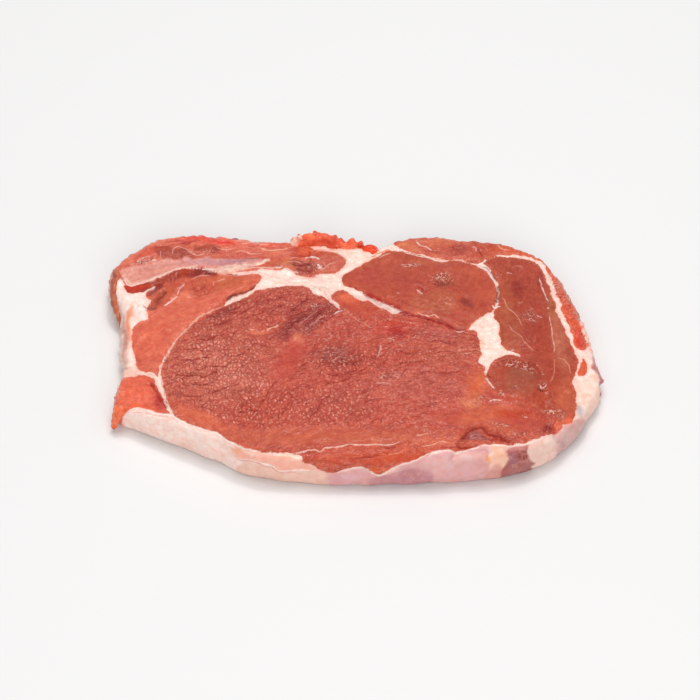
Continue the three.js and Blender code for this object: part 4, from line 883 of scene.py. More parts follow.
@dataclass
class Slice:
    """The whole slice: its outline, its heights, and the cells that its skin is made of."""

    name: str = "meat_slice"
    cells: tuple[int, int] = (344, 212)
    base_share: int = 4  # cells of the face for one cell of the base
    wall_levels: int = 18
    crowding: float = 0.9
    heart: tuple[float, float] = (0.0, -10.0)
    corners: tuple[float, ...] = (0.0, 0.335, 0.53, 0.86, 1.0)
    outline: Line = (
        (-92, -43), (-86, -46.3), (-74, -52.3), (-62, -58.3), (-51, -64.2), (-41, -70),
        (-24, -74), (0, -75.5), (28, -75.2), (52, -73), (66, -69.8), (76, -65),
        (84, -58.5), (90, -50), (95, -40), (99.5, -31), (100, -20), (97.5, -7),
        (95, 4), (92.5, 14), (87.5, 28), (82, 39), (76, 45), (64, 49.5),
        (50, 51), (34, 53.3), (19, 51.5), (13, 46.5), (3, 48.5), (-5, 52),
        (-14, 53.6), (-21, 52.8), (-26, 51), (-42, 51.8), (-58, 54.6), (-70, 54.6),
        (-83, 50.3), (-92, 43.8), (-98, 36), (-99, 28), (-95, 15), (-92.5, 5),
        (-92.3, -8), (-90.5, -22), (-92.5, -32),
    )
    rim_rise: tuple[float, ...] = (0.0, 0.12, 0.45, 0.78, 1.0)
    rim_out: tuple[float, ...] = (-1.8, -0.8, 0.1, 0.1, -0.7)
    edge: tuple[float, float] = (2.6, 1.5)  # how far in the face turns down, and how far it drops
    shoulders: tuple[tuple[float, ...], ...] = (
        (12, -76, 30, 5, 4.2),
        (-97, 20, 15, 3, 1.5),
        (97, -2, 26, 3.5, 1.8),
    )  # where it turns down more: x, y, width of the stretch, further reach, further drop
    heights: tuple[tuple[float, ...], ...] = (
        (-20, -30, 16), (35, -30, 15.8), (-62, -20, 15.2), (-45, 10, 14.6), (-86, -42, 11),
        (-72, -47, 13.6), (-88, -15, 11.5), (-92, 25, 13), (-70, 45, 13.8), (-30, 42, 14.2),
        (-10, 52, 13), (6, 40, 14), (35, 22, 17), (50, 46, 14.8), (74, 42, 13.2),
        (87, 25, 11.8), (94, -5, 10.6), (95, -35, 9.8), (84, -50, 12), (62, -62, 15),
        (30, -68, 15.2), (8, -72, 15), (-30, -68, 14.8), (-55, -58, 14.6), (68, -5, 15.4),
        (66, -35, 14.8),
    )  # of the face: x, y, z
    softness: float = 8.0

    def __post_init__(self) -> None:
        """Measures off the outline."""
        self.round = curve_through(self.outline, True, 24)
        steps = np.hypot(*np.diff(self.round, axis=0).T)
        self.travel = np.concatenate([[0.0], np.cumsum(steps)]) / steps.sum()

    def on_outline(self, share: Array) -> Array:
        """The outline's points at shares of its length."""
        share = share % 1
        return np.column_stack([np.interp(share, self.travel, c) for c in self.round.T])

    def outward_at(self, share: Array) -> Array:
        """The way out of the outline at shares of its length."""
        along = self.on_outline(share + 0.002) - self.on_outline(share - 0.002)
        out = np.column_stack([along[:, 1], -along[:, 0]])
        return out / np.hypot(*out.T)[:, None]

    def slab_height(self, where: Array) -> Array:
        """The height of the face before any relief."""
        total = np.zeros(len(where))
        pulls = np.zeros(len(where))
        for x, y, z in self.heights:
            gap = (where[:, 0] - x) ** 2 + (where[:, 1] - y) ** 2 + self.softness**2
            pull = gap**-1.5
            total += pull * z
            pulls += pull
        return total / pulls

    def edge_drop(self, where: Array, inside: Array) -> Array:
        """How far the face has dropped towards the rim."""
        reach = np.full(len(where), self.edge[0])
        drop = np.full(len(where), self.edge[1])
        for x, y, width, further, lower in self.shoulders:
            pull = np.exp(-((where[:, 0] - x) ** 2 + (where[:, 1] - y) ** 2) / width**2)
            reach += further * pull
            drop += lower * pull
        nearness = np.clip(1 - inside / reach, 0, 1)
        return drop * (1 - np.sqrt(1 - nearness**2))

    def share_round(self, u: Array, v: Array) -> Array:
        """How far round the outline the point lies that is outward of a cell corner."""
        sides = np.stack([-v, u, v, -u])
        side = np.argmax(sides, axis=0)
        across = np.maximum(np.max(sides, axis=0), 1e-9)
        along = np.choose(side, [u, v, -u, -v])
        start = np.take(self.corners, side)
        end = np.take(self.corners, side + 1)
        return start + (end - start) * (along / across + 1) / 2

    def rim(self, share: Array, rise: float) -> tuple[Array, Array]:
        """The rim at a share of the edge's height.

        Args:
            share: How far round the outline.
            rise: Share of the edge's height, from 0 at the base to 1 at the face.

        Returns:
            The rim's points in three coordinates, and the way out at each.
        """
        outward = self.outward_at(share)
        flat = self.on_outline(share)
        top = flat + self.rim_out[-1] * outward
        height = self.slab_height(top) - self.edge_drop(top, np.zeros(len(top)))
        out = np.interp(rise, self.rim_rise, self.rim_out)
        point = np.column_stack([flat, rise * height])
        torn = smooth(outward[:, 1], -0.6, 0.0)
        crag = 0.8 * lumps(point, 9)
        crag += torn * (0.9 * lumps(point, 3.4, 6.0) + 0.6 * lumps(point, 1.7, 3.0))
        point[:, :2] += (out + crag)[:, None] * outward
        return point, outward

    def spread(self, ring: Array) -> Array:
        """How far from the heart a ring of cells lies, as a share of the way to the rim."""
        return np.sin(ring * self.crowding) / math.sin(self.crowding)

    def corners_of(self, cells: tuple[int, int]) -> tuple[Array, Array]:
        """The places across and along, from -1 to 1, of the corners of a grid of cells."""
        u, v = np.meshgrid(*(np.linspace(-1, 1, count + 1) for count in cells))
        return u.ravel(), v.ravel()

    def flat_part(self, cells: tuple[int, int], rise: float, zone: Zone) -> Skin:
        """Lays out the face or the base.

        Args:
            cells: Number of cells across and along.
            rise: Share of the edge's height at which its rim lies.
            zone: Which of the two it is.

        Returns:
            The part's skin, row by row of cell corners.
        """
        u, v = self.corners_of(cells)
        ring = np.maximum(np.abs(u), np.abs(v))
        rim, outward = self.rim(self.share_round(u, v), rise)
        flat = self.heart + (rim[:, :2] - self.heart) * self.spread(ring)[:, None]
        inside = np.sum((rim[:, :2] - flat) * outward, axis=1)
        height = np.zeros(len(flat))
        seen = flat.copy()
        if zone is Zone.FACE:
            height = self.slab_height(flat) - self.edge_drop(flat, inside)
            seen[:, 1] += LEAN * (height - SEEN_HEIGHT)
        place = np.column_stack([flat, height])
        return Skin(place, seen, outward, inside, np.full(len(flat), zone.value))

    def wall(self, u: Array, v: Array) -> Skin:
        """Lays out the wall, level by level, from below the face's rim down to the base."""
        share = self.share_round(u, v)
        top, outward = self.rim(share, 1.0)
        top_seen = top[:, :2] + LEAN * np.column_stack([0 * share, top[:, 2] - SEEN_HEIGHT])
        facing = smooth(-outward[:, 1], 0.1, 0.5)[:, None]
        places, looks = [], []
        for level in range(1, self.wall_levels + 1):
            rise = 1 - (level / self.wall_levels) ** 0.9
            place, _ = self.rim(share, rise)
            drop = (top[:, 2] - place[:, 2])[:, None]
            ahead = place[:, :2] + LEAN * np.column_stack([0 * share, place[:, 2] - SEEN_HEIGHT])
            looks.append(facing * ahead + (1 - facing) * (top_seen + outward * drop))
            places.append(place)
        count = self.wall_levels
        return Skin(
            np.vstack(places), np.vstack(looks), np.tile(outward, (count, 1)),
            np.zeros(count * len(u)), np.full(count * len(u), Zone.WALL.value),
        )

    def edge_rows(self, cells: tuple[int, int]) -> Array:
        """The numbers of a grid's outer corners, anticlockwise from the front left."""
        across, along = cells
        grid = np.arange((across + 1) * (along + 1)).reshape(along + 1, across + 1)
        return np.concatenate([grid[0, :-1], grid[:-1, -1], grid[-1, :0:-1], grid[:0:-1, 0]])

    def skin_and_faces(self) -> tuple[Skin, list[list[int]]]:
        """Lays out the closed skin.

        Returns:
            The skin's points, and the corners of each of its faces.
        """
        across, along = self.cells
        face = self.flat_part(self.cells, 1.0, Zone.FACE)
        ring = self.edge_rows(self.cells)
        u, v = self.corners_of(self.cells)
        wall = self.wall(u[ring], v[ring])

        levels = np.vstack([ring, len(face.place) + np.arange(len(wall.place)).reshape(-1, len(ring))])
        grid = np.arange(len(face.place)).reshape(along + 1, across + 1)
        faces = np.stack([grid[:-1, :-1], grid[:-1, 1:], grid[1:, 1:], grid[1:, :-1]], -1)
        faces = faces.reshape(-1, 4).tolist()
        upper, lower = levels[:-1], levels[1:]
        ahead = [np.roll(row, -1, axis=1) for row in (lower, upper)]
        faces += np.stack([lower, ahead[0], ahead[1], upper], -1).reshape(-1, 4).tolist()

        base, base_faces = self.base_part(levels[-1], len(face.place) + len(wall.place))
        return Skin.joined(face, wall, base), faces + base_faces

    def base_part(self, bottom: Array, first: int) -> tuple[Skin, list[list[int]]]:
        """Lays out the base in larger cells, whose outer edges take in the wall's last row.

        Args:
            bottom: The numbers of the points in the wall's last row.
            first: The number of the base's first own point.

        Returns:
            The base's own points, and the corners of each of its faces.
        """
        share = self.base_share
        coarse = (self.cells[0] // share, self.cells[1] // share)
        base = self.flat_part(coarse, 0.0, Zone.BASE)
        rim = self.edge_rows(coarse)
        inner = np.setdiff1d(np.arange(len(base.place)), rim)
        number = np.empty(len(base.place), int)
        number[rim] = bottom[::share]
        number[inner] = first + np.arange(len(inner))
        stretches = np.concatenate([bottom, bottom[:1]])
        between = {}
        for start in range(0, len(bottom), share):
            stretch = stretches[start : start + share + 1].tolist()
            between[stretch[-1], stretch[0]] = stretch[-2:0:-1]
        below = number.reshape(coarse[1] + 1, coarse[0] + 1)
        corners = np.stack([below[:-1, :-1], below[1:, :-1], below[1:, 1:], below[:-1, 1:]], -1)
        faces = []
        for cell in corners.reshape(-1, 4).tolist():
            outline = []
            for start, end in zip(cell, cell[1:] + cell[:1]):
                outline += [start, *between.get((start, end), [])]
            faces.append(outline)
        return base.picked(inner), faces


@dataclass
class DrawnLines:
    """The nearest drawn line at each point: how far it is, its half width and its tone."""

    where: Array
    strokes: Sequence[Stroke]
    felt: float = 1.6  # how far beside a line its width is kept
    bare: float = 9.0  # the distance kept where no line is near
    midway: float = 0.75  # how much farther off the next line may be where both are let go

    def __post_init__(self) -> None:
        """Measures every point against the lines."""
        count = len(self.where)
        self.signed = np.full(count, self.bare)
        self.half = np.full(count, -1.0)
        self.tone = np.tile(under_gloss(CREAM), (count, 1))
        self.relief = np.zeros(count)
        rival = np.full(count, self.bare + 1)
        for stroke in self.strokes:
            chain = curve_through(stroke.line, False, 5)
            near = beside(chain, self.where, 2 * self.felt)
            signed, share = distance_to(chain, self.where[near])
            gap = np.abs(signed)
            ends = smooth(np.minimum(share, 1 - share), 0.0, TAPER)
            width = np.where(gap < self.felt, (stroke.width * ends - 0.3 * (1 - ends)) / 2, -1)
            reached = np.abs(self.signed[near]) - self.half[near]
            closer = gap - width < reached
            rival[near] = np.minimum(rival[near], np.maximum(gap - width, reached))
            self.signed[near] = np.where(closer, signed, self.signed[near])
            self.half[near] = np.where(closer, width, self.half[near])
            self.tone[near[closer]] = under_gloss(stroke.tone)
            reach = max(stroke.width / 2, 0.55)
            lift = 0.6 * min(stroke.rise, 0) + 0.35 * max(stroke.rise, 0)
            self.relief[near] += lift * ends * np.exp(-((gap / reach) ** 2))
        reached = np.abs(self.signed) - self.half
        self.half[(rival - reached < self.midway) & (reached > 0.3)] = -1.0


@dataclass
class Drawing:
    """What the drawing says at each point of the skin."""

    skin: Skin
    muscles: Sequence[Muscle] = field(default_factory=lambda: MUSCLES)
    runs: Sequence[Run] = field(default_factory=lambda: RUNS)
    joining: float = 18.0  # distance over which neighbouring runs are made to meet
    meat_by_fat: str = "#e4775a"
    torn_meat: str = "#f2ad98"
    fat_of_face: str = "#fdeae0"
    fat_of_wall: str = "#f3d3c6"

    def __post_init__(self) -> None:
        """Measures every point against the muscles and the lines."""
        seen = self.skin.seen
        self.fine = warped(seen, 2.2, 0.35)
        self.near = warped(warped(seen, 4.5, 0.8), 1.6, 0.3)
        self.soft = warped(warped(seen, 7.0, 1.8), 2.4, 0.8)
        self.depths = np.stack([depth_inside(m.outline, self.near) for m in self.muscles])
        self.meat_depth = self.depths.max(axis=0)
        # the pale lines include painted highlights, and the dark lines painted shade in clefts, grooves,
        # pits and pockets
        self.pale = DrawnLines(self.fine, [s for s in STROKES if s.rise > 0])
        self.dark = DrawnLines(self.fine, [s for s in STROKES if s.rise < 0])
        self.flow = self.flow_across()

    def flow_across(self) -> Array:
        """Measures off the fibres across the way that they run, in millimetres.

        Each run is a slanting plane, felt near its middle. The planes are raised or lowered
        so that neighbours meet, and the points between them take their average.
        """
        middles = np.array([(run.x, run.y) for run in self.runs])
        angles = np.radians([run.turn + 90 for run in self.runs])
        ways = np.column_stack([np.cos(angles), np.sin(angles)])
        rows, gaps = [], []
        for i, j in itertools.combinations(range(len(self.runs)), 2):
            apart = middles[j] - middles[i]
            weight = math.exp(-(apart @ apart) / self.joining**2)
            row = np.zeros(len(self.runs))
            row[i], row[j] = weight, -weight
            rows.append(row)
            gaps.append(-weight * ((ways[i] + ways[j]) @ apart) / 2)
        raised = np.linalg.lstsq(np.array(rows), np.array(gaps), rcond=None)[0]
        total = np.zeros(len(self.skin.seen))
        weights = np.full(len(total), 1e-9)
        for run, middle, way, rise in zip(self.runs, middles, ways, raised):
            apart = self.skin.seen - middle
            weight = np.exp(-np.minimum(np.sum(apart**2, axis=1) / run.reach**2, 30)) + 1e-6
            total += weight * (apart @ way + rise)
            weights += weight
        return total / weights

    def along_fibres(self, size: float, stretch: float = 2.2) -> Array:
        """Places for unevenness that is drawn out along the fibres."""
        return np.column_stack([self.fine / (stretch * size), self.flow / size])

    def fat(self) -> Array:
        """How far each point lies inside fat, below zero in meat."""
        fat = -self.meat_depth
        band = 2.6 + 1.2 * lumps(self.skin.seen, 14, 3.1) - self.skin.inside
        return np.where(self.skin.lies_in(Zone.BASE), np.maximum(fat, band), fat)

    def with_patches(self, start: Array, patches: Sequence[Spot | Block]) -> Array:
        """Lays patches over a number or a colour at each point, the last patch on top."""
        for patch in patches:
            value = under_gloss(patch.value) if isinstance(patch.value, str) else patch.value
            cover = patch.cover(self.soft)
            start = start + (np.array(value) - start) * (cover[:, None] if start.ndim == 2 else cover)
        return start

    def by_muscle(self, values: Array) -> Array:
        """Blends one value or colour for each muscle by how deep a point lies in each."""
        weights = np.exp(np.clip(self.depths, -12, 4) / 0.6)
        weights /= weights.sum(axis=0)
        return np.tensordot(weights, values, axes=(0, 0))

    def meat_tone(self) -> Array:
        """The meat's colour, brighter along the fat, with red streaks and with shade painted in the
        clefts, grooves and hollows.
        """
        tones = self.by_muscle(np.array([under_gloss(m.tone) for m in self.muscles]))
        tones = self.with_patches(tones, MEAT_PATCHES)
        rim = 0.5 * np.exp(-np.clip(self.meat_depth, 0, None) / 1.1)
        rim *= np.clip(0.6 + lumps(self.skin.seen, 6, 41.0), 0, 1)
        tones = tones + (np.array(under_gloss(self.meat_by_fat)) - tones) * rim[:, None]
        tones = self.with_patches(tones, CLEFT_SHADE_AND_STREAK_PATCHES)
        torn = smooth(self.skin.outward[:, 1], -0.2, 0.3) * np.exp(-self.skin.inside / 1.0)
        torn *= np.clip(0.65 + 0.8 * lumps(self.skin.seen, 3.4, 45.0), 0, 1)
        torn *= np.where(self.skin.seen[:, 0] > 15, 0.3, 1.0)
        return tones + (np.array(under_gloss(self.torn_meat)) - tones) * torn[:, None]

    def fat_tone(self) -> Array:
        """The colour of the fat and of the outer skin."""
        tones = np.tile(under_gloss(self.fat_of_face), (len(self.soft), 1))
        wall = self.skin.lies_in(Zone.WALL)[:, None]
        tones = np.where(wall, under_gloss(self.fat_of_wall), tones)
        return self.with_patches(tones, FAT_PATCHES)

    def crinkle(self) -> Array:
        """How crumpled the meat is, from 0 to 1."""
        start = self.by_muscle(np.array([m.crinkle for m in self.muscles]))
        uneven = 0.92 + 0.3 * lumps(self.skin.seen, 9, 61.0) + 0.25 * lumps(self.skin.seen, 4, 65.0)
        return np.clip(uneven * self.with_patches(start, CRINKLE_PATCHES), 0, 1)

    def cobbled(self) -> Array:
        """How far the meat looks cobbled rather than ridged, from 0 to 1."""
        return self.with_patches(np.full(len(self.soft), 0.25), COBBLED_PATCHES)

    def wet(self) -> Array:
        """How wet the skin is, from 0 to 1."""
        return self.with_patches(np.full(len(self.soft), 0.35), WET_PATCHES)

    def relief(self) -> Array:
        """How far the drawing raises the skin, in millimetres."""
        seen = self.skin.seen
        height = sum(seam.relief(self.near) for seam in SEAMS)
        height -= sum(hollow.value * hollow.cover(seen) for hollow in HOLLOWS)
        height += self.pale.relief + self.dark.relief
        height += 0.35 * (1 - np.exp(-np.clip(self.meat_depth, 0, None) / 1.8))
        rough = self.crinkle()
        uneasy = 0.4 + 0.6 * smooth(rough, 0.1, 0.5)
        height += uneasy * (0.35 * lumps(seen, 10, 2.0) + 0.3 * lumps(seen, 5, 7.0))
        height += 0.16 * lumps(self.along_fibres(2.0), 1, 17.0)
        bundles = np.abs(lumps(self.along_fibres(2.6), 1, 31.0))
        height += rough * (0.55 * (bundles - 0.25) + 0.2 * lumps(self.along_fibres(1.3, 1.6), 1, 9.2))
        knobs = smooth(-self.meat_depth, 0.0, 1.5)
        return height + knobs * (0.3 * lumps(seen, 3.2, 51.0) + 0.12 * lumps(seen, 1.5, 55.0))


# Finishes


@dataclass
class Value:
    """What a shader socket carries, so that sums on it are written as sums."""

    tree: "Tree"
    socket: bpy.types.NodeSocket

    def __add__(self, other: "Value | float") -> "Value":
        """The sum of two numbers."""
        return self.tree.math("ADD", self, other)

    def __sub__(self, other: "Value | float") -> "Value":
        """The difference of two numbers."""
        return self.tree.math("SUBTRACT", self, other)

    def __rsub__(self, other: float) -> "Value":
        """What is left of a constant."""
        return self.tree.math("SUBTRACT", other, self)

    def __mul__(self, other: "Value | float") -> "Value":
        """The product of two numbers."""
        return self.tree.math("MULTIPLY", self, other)

    __rmul__ = __mul__


class Tree:
    """Writes shader nodes into one node tree."""

    def __init__(self, tree: bpy.types.NodeTree) -> None:
        """Takes the tree that is written into."""
        self.tree = tree

    def node(self, kind: str, inputs: dict | None = None, **settings: object) -> bpy.types.Node:
        """Adds a node.

        Args:
            kind: The node's type.
            inputs: Values or constants for its inputs, by name or number.
            settings: The node's own settings.

        Returns:
            The node.
        """
        made = self.tree.nodes.new(kind)
        for setting, value in settings.items():
            setattr(made, setting, value)
        for key, value in (inputs or {}).items():
            if isinstance(value, Value):
                self.tree.links.new(value.socket, made.inputs[key])
            else:
                made.inputs[key].default_value = value
        return made

    def out(self, node: bpy.types.Node, name: int | str = 0) -> Value:
        """One of a node's outputs."""
        return Value(self, node.outputs[name])

    def math(self, operation: str, first: Value | float, second: Value | float = 0.0) -> Value:
        """Does one sum on numbers."""
        return self.out(self.node("ShaderNodeMath", {0: first, 1: second}, operation=operation))

    def blend(self, share: Value, first: Value, second: Value) -> Value:
        """Blends two numbers, by the share of the second."""
        return first + (second - first) * share

    def step(self, value: Value, low: float, high: float) -> Value:
        """Rises smoothly from 0 at low to 1 at high."""
        inputs = {"Value": value, "From Min": low, "From Max": high}
        return self.out(self.node("ShaderNodeMapRange", inputs, interpolation_type="SMOOTHSTEP"))

    def ramp(self, value: Value, low: float, high: float, start: float, end: float) -> Value:
        """Runs evenly from start to end while the value goes from low to high."""
        inputs = {"Value": value, "From Min": low, "From Max": high, "To Min": start, "To Max": end}
        return self.out(self.node("ShaderNodeMapRange", inputs))

    def mix(self, share: Value | float, first: Value, second: Value | tuple, blend: str = "MIX") -> Value:
        """Mixes two colours."""
        inputs = {0: share, 6: first, 7: second}
        return self.out(self.node("ShaderNodeMix", inputs, data_type="RGBA", blend_type=blend), 2)

    def toned(self, share: Value, colour: Value, tone: str) -> Value:
        """Mixes a colour with a tone, as far as the share goes."""
        return self.mix(share, colour, (*linear(tone), 1.0))

    def tinted(self, share: Value | float, colour: Value, tint: tuple[float, ...]) -> Value:
        """Multiplies a colour by a tint, as far as the share goes."""
        return self.mix(share, colour, (*tint, 1.0), "MULTIPLY")

    def noise(self, point: Value, scale: float, detail: float = 2.0, rough: float = 0.5,
              distortion: float = 0.0) -> Value:
        """Adds layered noise, from 0 to 1."""
        inputs = {"Vector": point, "Scale": scale, "Detail": detail, "Roughness": rough,
                  "Distortion": distortion}
        return self.out(self.node("ShaderNodeTexNoise", inputs))

    def cells(self, point: Value, **settings: object) -> bpy.types.Node:
        """Adds a pattern of cells, one unit apart."""
        return self.node("ShaderNodeTexVoronoi", {"Vector": point, "Scale": 1.0}, **settings)

    def chance(self, cells: bpy.types.Node) -> Value:
        """A random number for each cell, from 0 to 1."""
        return self.out(self.node("ShaderNodeSeparateColor", {0: self.out(cells, "Color")}))

    def knobs(self, point: Value, scale: float, softness: float) -> Value:
        """The distance from the middles of round knobs that run into each other."""
        inputs = {"Vector": point, "Scale": scale, "Smoothness": softness}
        return self.out(self.node("ShaderNodeTexVoronoi", inputs, feature="SMOOTH_F1"), "Distance")

    def valleys(self, value: Value, width: float) -> Value:
        """Draws lines where layered noise crosses its middle: 0 on them and 1 beside them."""
        return self.step(self.math("ABSOLUTE", value - 0.5), 0.0, width)

    def bent(self, point: Value, scale: float, reach: float) -> Value:
        """Moves a point about, by up to half the reach."""
        wander = self.node("ShaderNodeTexNoise", {"Vector": point, "Scale": scale, "Detail": 2.0})
        middle = (0.5, 0.5, 0.5)
        shift = self.node("ShaderNodeVectorMath", {0: self.out(wander, 1), 1: middle}, operation="SUBTRACT")
        inputs = {0: self.out(shift), 1: (reach, reach, reach), 2: point}
        return self.out(self.node("ShaderNodeVectorMath", inputs, operation="MULTIPLY_ADD"))

    def unrolled(self, point: Value) -> tuple[Value, Value]:
        """A point's places across and along the face, which goes on down the wall."""
        parts = self.node("ShaderNodeSeparateXYZ", {0: point})
        return self.out(parts, 0), self.out(parts, 1) + self.out(parts, 2)

    def along_fibres(self, point: Value, flow: Value, along: float, across: float) -> Value:
        """Places for patterns that are drawn out along the fibres.

        Args:
            point: The point in millimetres.
            flow: The way across the fibres in millimetres.
            along: How many patterns one millimetre along the fibres holds.
            across: How many one millimetre across them holds.

        Returns:
            The place in the pattern.
        """
        x, y = self.unrolled(point)
        return self.out(self.node("ShaderNodeCombineXYZ", {0: x * along, 1: y * along, 2: flow * across}))

    def stored(self, name: str, output: str = "Fac") -> Value:
        """Reads the number or the colour that the mesh stores under a name."""
        return self.out(self.node("ShaderNodeAttribute", attribute_name=name), output)


class Kind(Enum):
    """Kinds of group sockets."""

    NUMBER = "NodeSocketFloat"
    VECTOR = "NodeSocketVector"


class Effect:
    """A shader node group that more than one finish uses."""

    name: str
    takes: Sequence[str]
    gives: Sequence[str]

    def __init__(self) -> None:
        """Makes the group, with its named inputs and outputs, and fills it."""
        self.group = bpy.data.node_groups.new(self.name, "ShaderNodeTree")
        for way, names in (("INPUT", self.takes), ("OUTPUT", self.gives)):
            for name in names:
                kind = Kind.VECTOR if name == "Point" else Kind.NUMBER
                self.group.interface.new_socket(name, in_out=way, socket_type=kind.value)
        tree = Tree(self.group)
        given = tree.node("NodeGroupInput")
        results = self.results(tree, *(tree.out(given, name) for name in self.takes))
        tree.node("NodeGroupOutput", dict(zip(self.gives, results)))

    def results(self, tree: Tree, *given: Value) -> Sequence[Value]:
        """Works out what the group gives from what it takes, both in order."""
        raise NotImplementedError

    def use(self, tree: Tree, *inputs: Value) -> dict[str, Value]:
        """Places the group in a finish.

        Args:
            tree: The finish's tree.
            inputs: What the group takes, in order.

        Returns:
            What the group gives, by name.
        """
        placed = tree.node("ShaderNodeGroup", node_tree=self.group)
        for name, value in zip(self.takes, inputs):
            tree.tree.links.new(value.socket, placed.inputs[name])
        return {name: tree.out(placed, name) for name in self.gives}


class MeatGrain(Effect):
    """Cut fibre bundles: small stones or ridges along the flow, and cracks, with a highlight painted
    on the ridges or stone tops and shade painted in the creases.
    """

    name = "meat_grain"
    takes = ("Point", "Flow", "Crinkle", "Cobbled")
    gives = ("Height", "Crease", "Ridge", "Bundle")

    def results(self, tree: Tree, *given: Value) -> Sequence[Value]:
        """Works out the bundles, stones, ridges and cracks."""
        point, flow, crinkle, cobbled = given
        bent = tree.bent(point, 0.45, 2.0)
        flow = flow + tree.ramp(tree.noise(point, 0.3), 0.2, 0.8, -1.0, 1.0)
        bundle = tree.chance(tree.cells(tree.along_fibres(bent, flow, 0.5, 0.7)))

        x, y = tree.unrolled(tree.bent(point, 0.33, 3.2))
        flat = tree.out(tree.node("ShaderNodeCombineXYZ", {0: 0.7 * x, 1: 0.54 * y}))
        stones = tree.cells(flat, voronoi_dimensions="2D")
        middle = tree.out(stones, "Distance")
        dome = 1 - tree.step(middle, 0.0, 0.75)
        border = tree.cells(flat, voronoi_dimensions="2D", feature="DISTANCE_TO_EDGE")
        gap = 1 - tree.step(tree.out(border, "Distance"), 0.0, 0.14)
        tops = (1 - tree.step(middle, 0.12, 0.46)) * tree.ramp(tree.chance(stones), 0.1, 0.8, 0.1, 1.0)
        shreds = tree.noise(tree.along_fibres(bent, flow, 0.8, 1.5), 1.0, 2.0, 0.6)
        tops = tops * tree.ramp(shreds, 0.36, 0.54, 0.25, 1.3)

        folds = tree.noise(tree.along_fibres(bent, flow, 0.3, 0.52), 1.0)
        broken = tree.noise(tree.along_fibres(point, flow, 0.6, 1.1), 1.0, 2.0, 0.6)
        ridges = (1 - tree.valleys(folds, 0.1)) * tree.step(broken, 0.44, 0.56)

        parted = tree.noise(tree.along_fibres(bent, flow, 0.1, 0.24), 1.0, 2.0, 0.55)
        cracks = (1 - tree.valleys(parted, 0.035)) * tree.step(tree.noise(point, 0.07), 0.38, 0.5)
        crumpled = tree.noise(tree.along_fibres(bent, flow, 0.4, 0.7), 1.0, 4.0, 0.6)
        leather = tree.noise(point, 0.75, 2.0, 0.55)

        body = tree.blend(cobbled, 0.6 * ridges - 0.08 * gap, 0.9 * dome - 0.3 * gap)
        body = body - 0.6 * cracks + 0.9 * crumpled
        # where shade is painted: the gaps between the stones, and the cracks
        crease = tree.math("MINIMUM", 0.7 * tree.blend(cobbled, 0.06 * gap, gap) + cracks, 1.0)
        # where a highlight is painted: along the ridges, or on the tops of the stones
        ridge = tree.blend(cobbled, ridges, tops) * (1 - cracks)
        bundle = tree.ramp(bundle, 0.0, 1.0, -1.0, 1.0)
        return body * crinkle + 0.6 * leather, crease * crinkle, ridge * crinkle, bundle * crinkle


class Mottle(Effect):
    """Uneven tone: broad clouds, smaller blots and streaks along the fibres, all from 0 to 1."""

    name = "mottle"
    takes = ("Point", "Flow")
    gives = ("Cloud", "Blot", "Streak")

    def results(self, tree: Tree, *given: Value) -> Sequence[Value]:
        """Works out the clouds, blots and streaks."""
        point, flow = given
        drawn_out = tree.along_fibres(tree.bent(point, 0.2, 2.0), flow, 0.11, 0.62)
        layers = (
            tree.noise(point, 0.13, 4.0, 0.6, 0.4),
            tree.noise(point, 0.42, 3.0, 0.6, 0.6),
            tree.noise(drawn_out, 1.0, 3.0, 0.6),
        )
        return [tree.ramp(layer, 0.3, 0.7, 0.0, 1.0) for layer in layers]


class FatEdge(Effect):
    """Where fat lies, with an uneven edge, the pink fringe along it, and its veins and knobs."""

    name = "fat_edge"
    takes = ("Point", "Depth")
    gives = ("Fat", "Fringe", "Veins", "Knobs")

    def results(self, tree: Tree, *given: Value) -> Sequence[Value]:
        """Works out the ragged edge, and what shows in the fat."""
        point, depth = given
        ragged = tree.ramp(tree.noise(point, 0.8, 4.0, 0.62), 0.0, 1.0, -0.75, 0.75)
        edge = depth - 0.35 + ragged
        mask = tree.step(edge, -0.2, 0.25)
        bent = tree.bent(point, 0.3, 3.0)
        veins = 1 - tree.valleys(tree.noise(bent, 0.16, 3.0, 0.6), 0.045)
        return mask, (1 - tree.step(edge, 0.0, 1.5)) * mask, veins, tree.knobs(bent, 0.36, 0.5)


class DrawnLine(Effect):
    """Where a drawn line lies, with a slightly uneven width."""

    name = "drawn_line"
    takes = ("Point", "Distance", "Half", "Softness")
    gives = ("Line",)

    def results(self, tree: Tree, *given: Value) -> Sequence[Value]:
        """Works out how far inside the line a point lies."""
        point, distance, half, softness = given
        uneven = tree.ramp(tree.noise(point, 0.55, 3.0, 0.6), 0.1, 0.9, -0.3, 0.3)
        inside = half - tree.math("ABSOLUTE", distance) + uneven
        return [tree.step(tree.math("DIVIDE", inside, softness), -0.5, 1.0)]


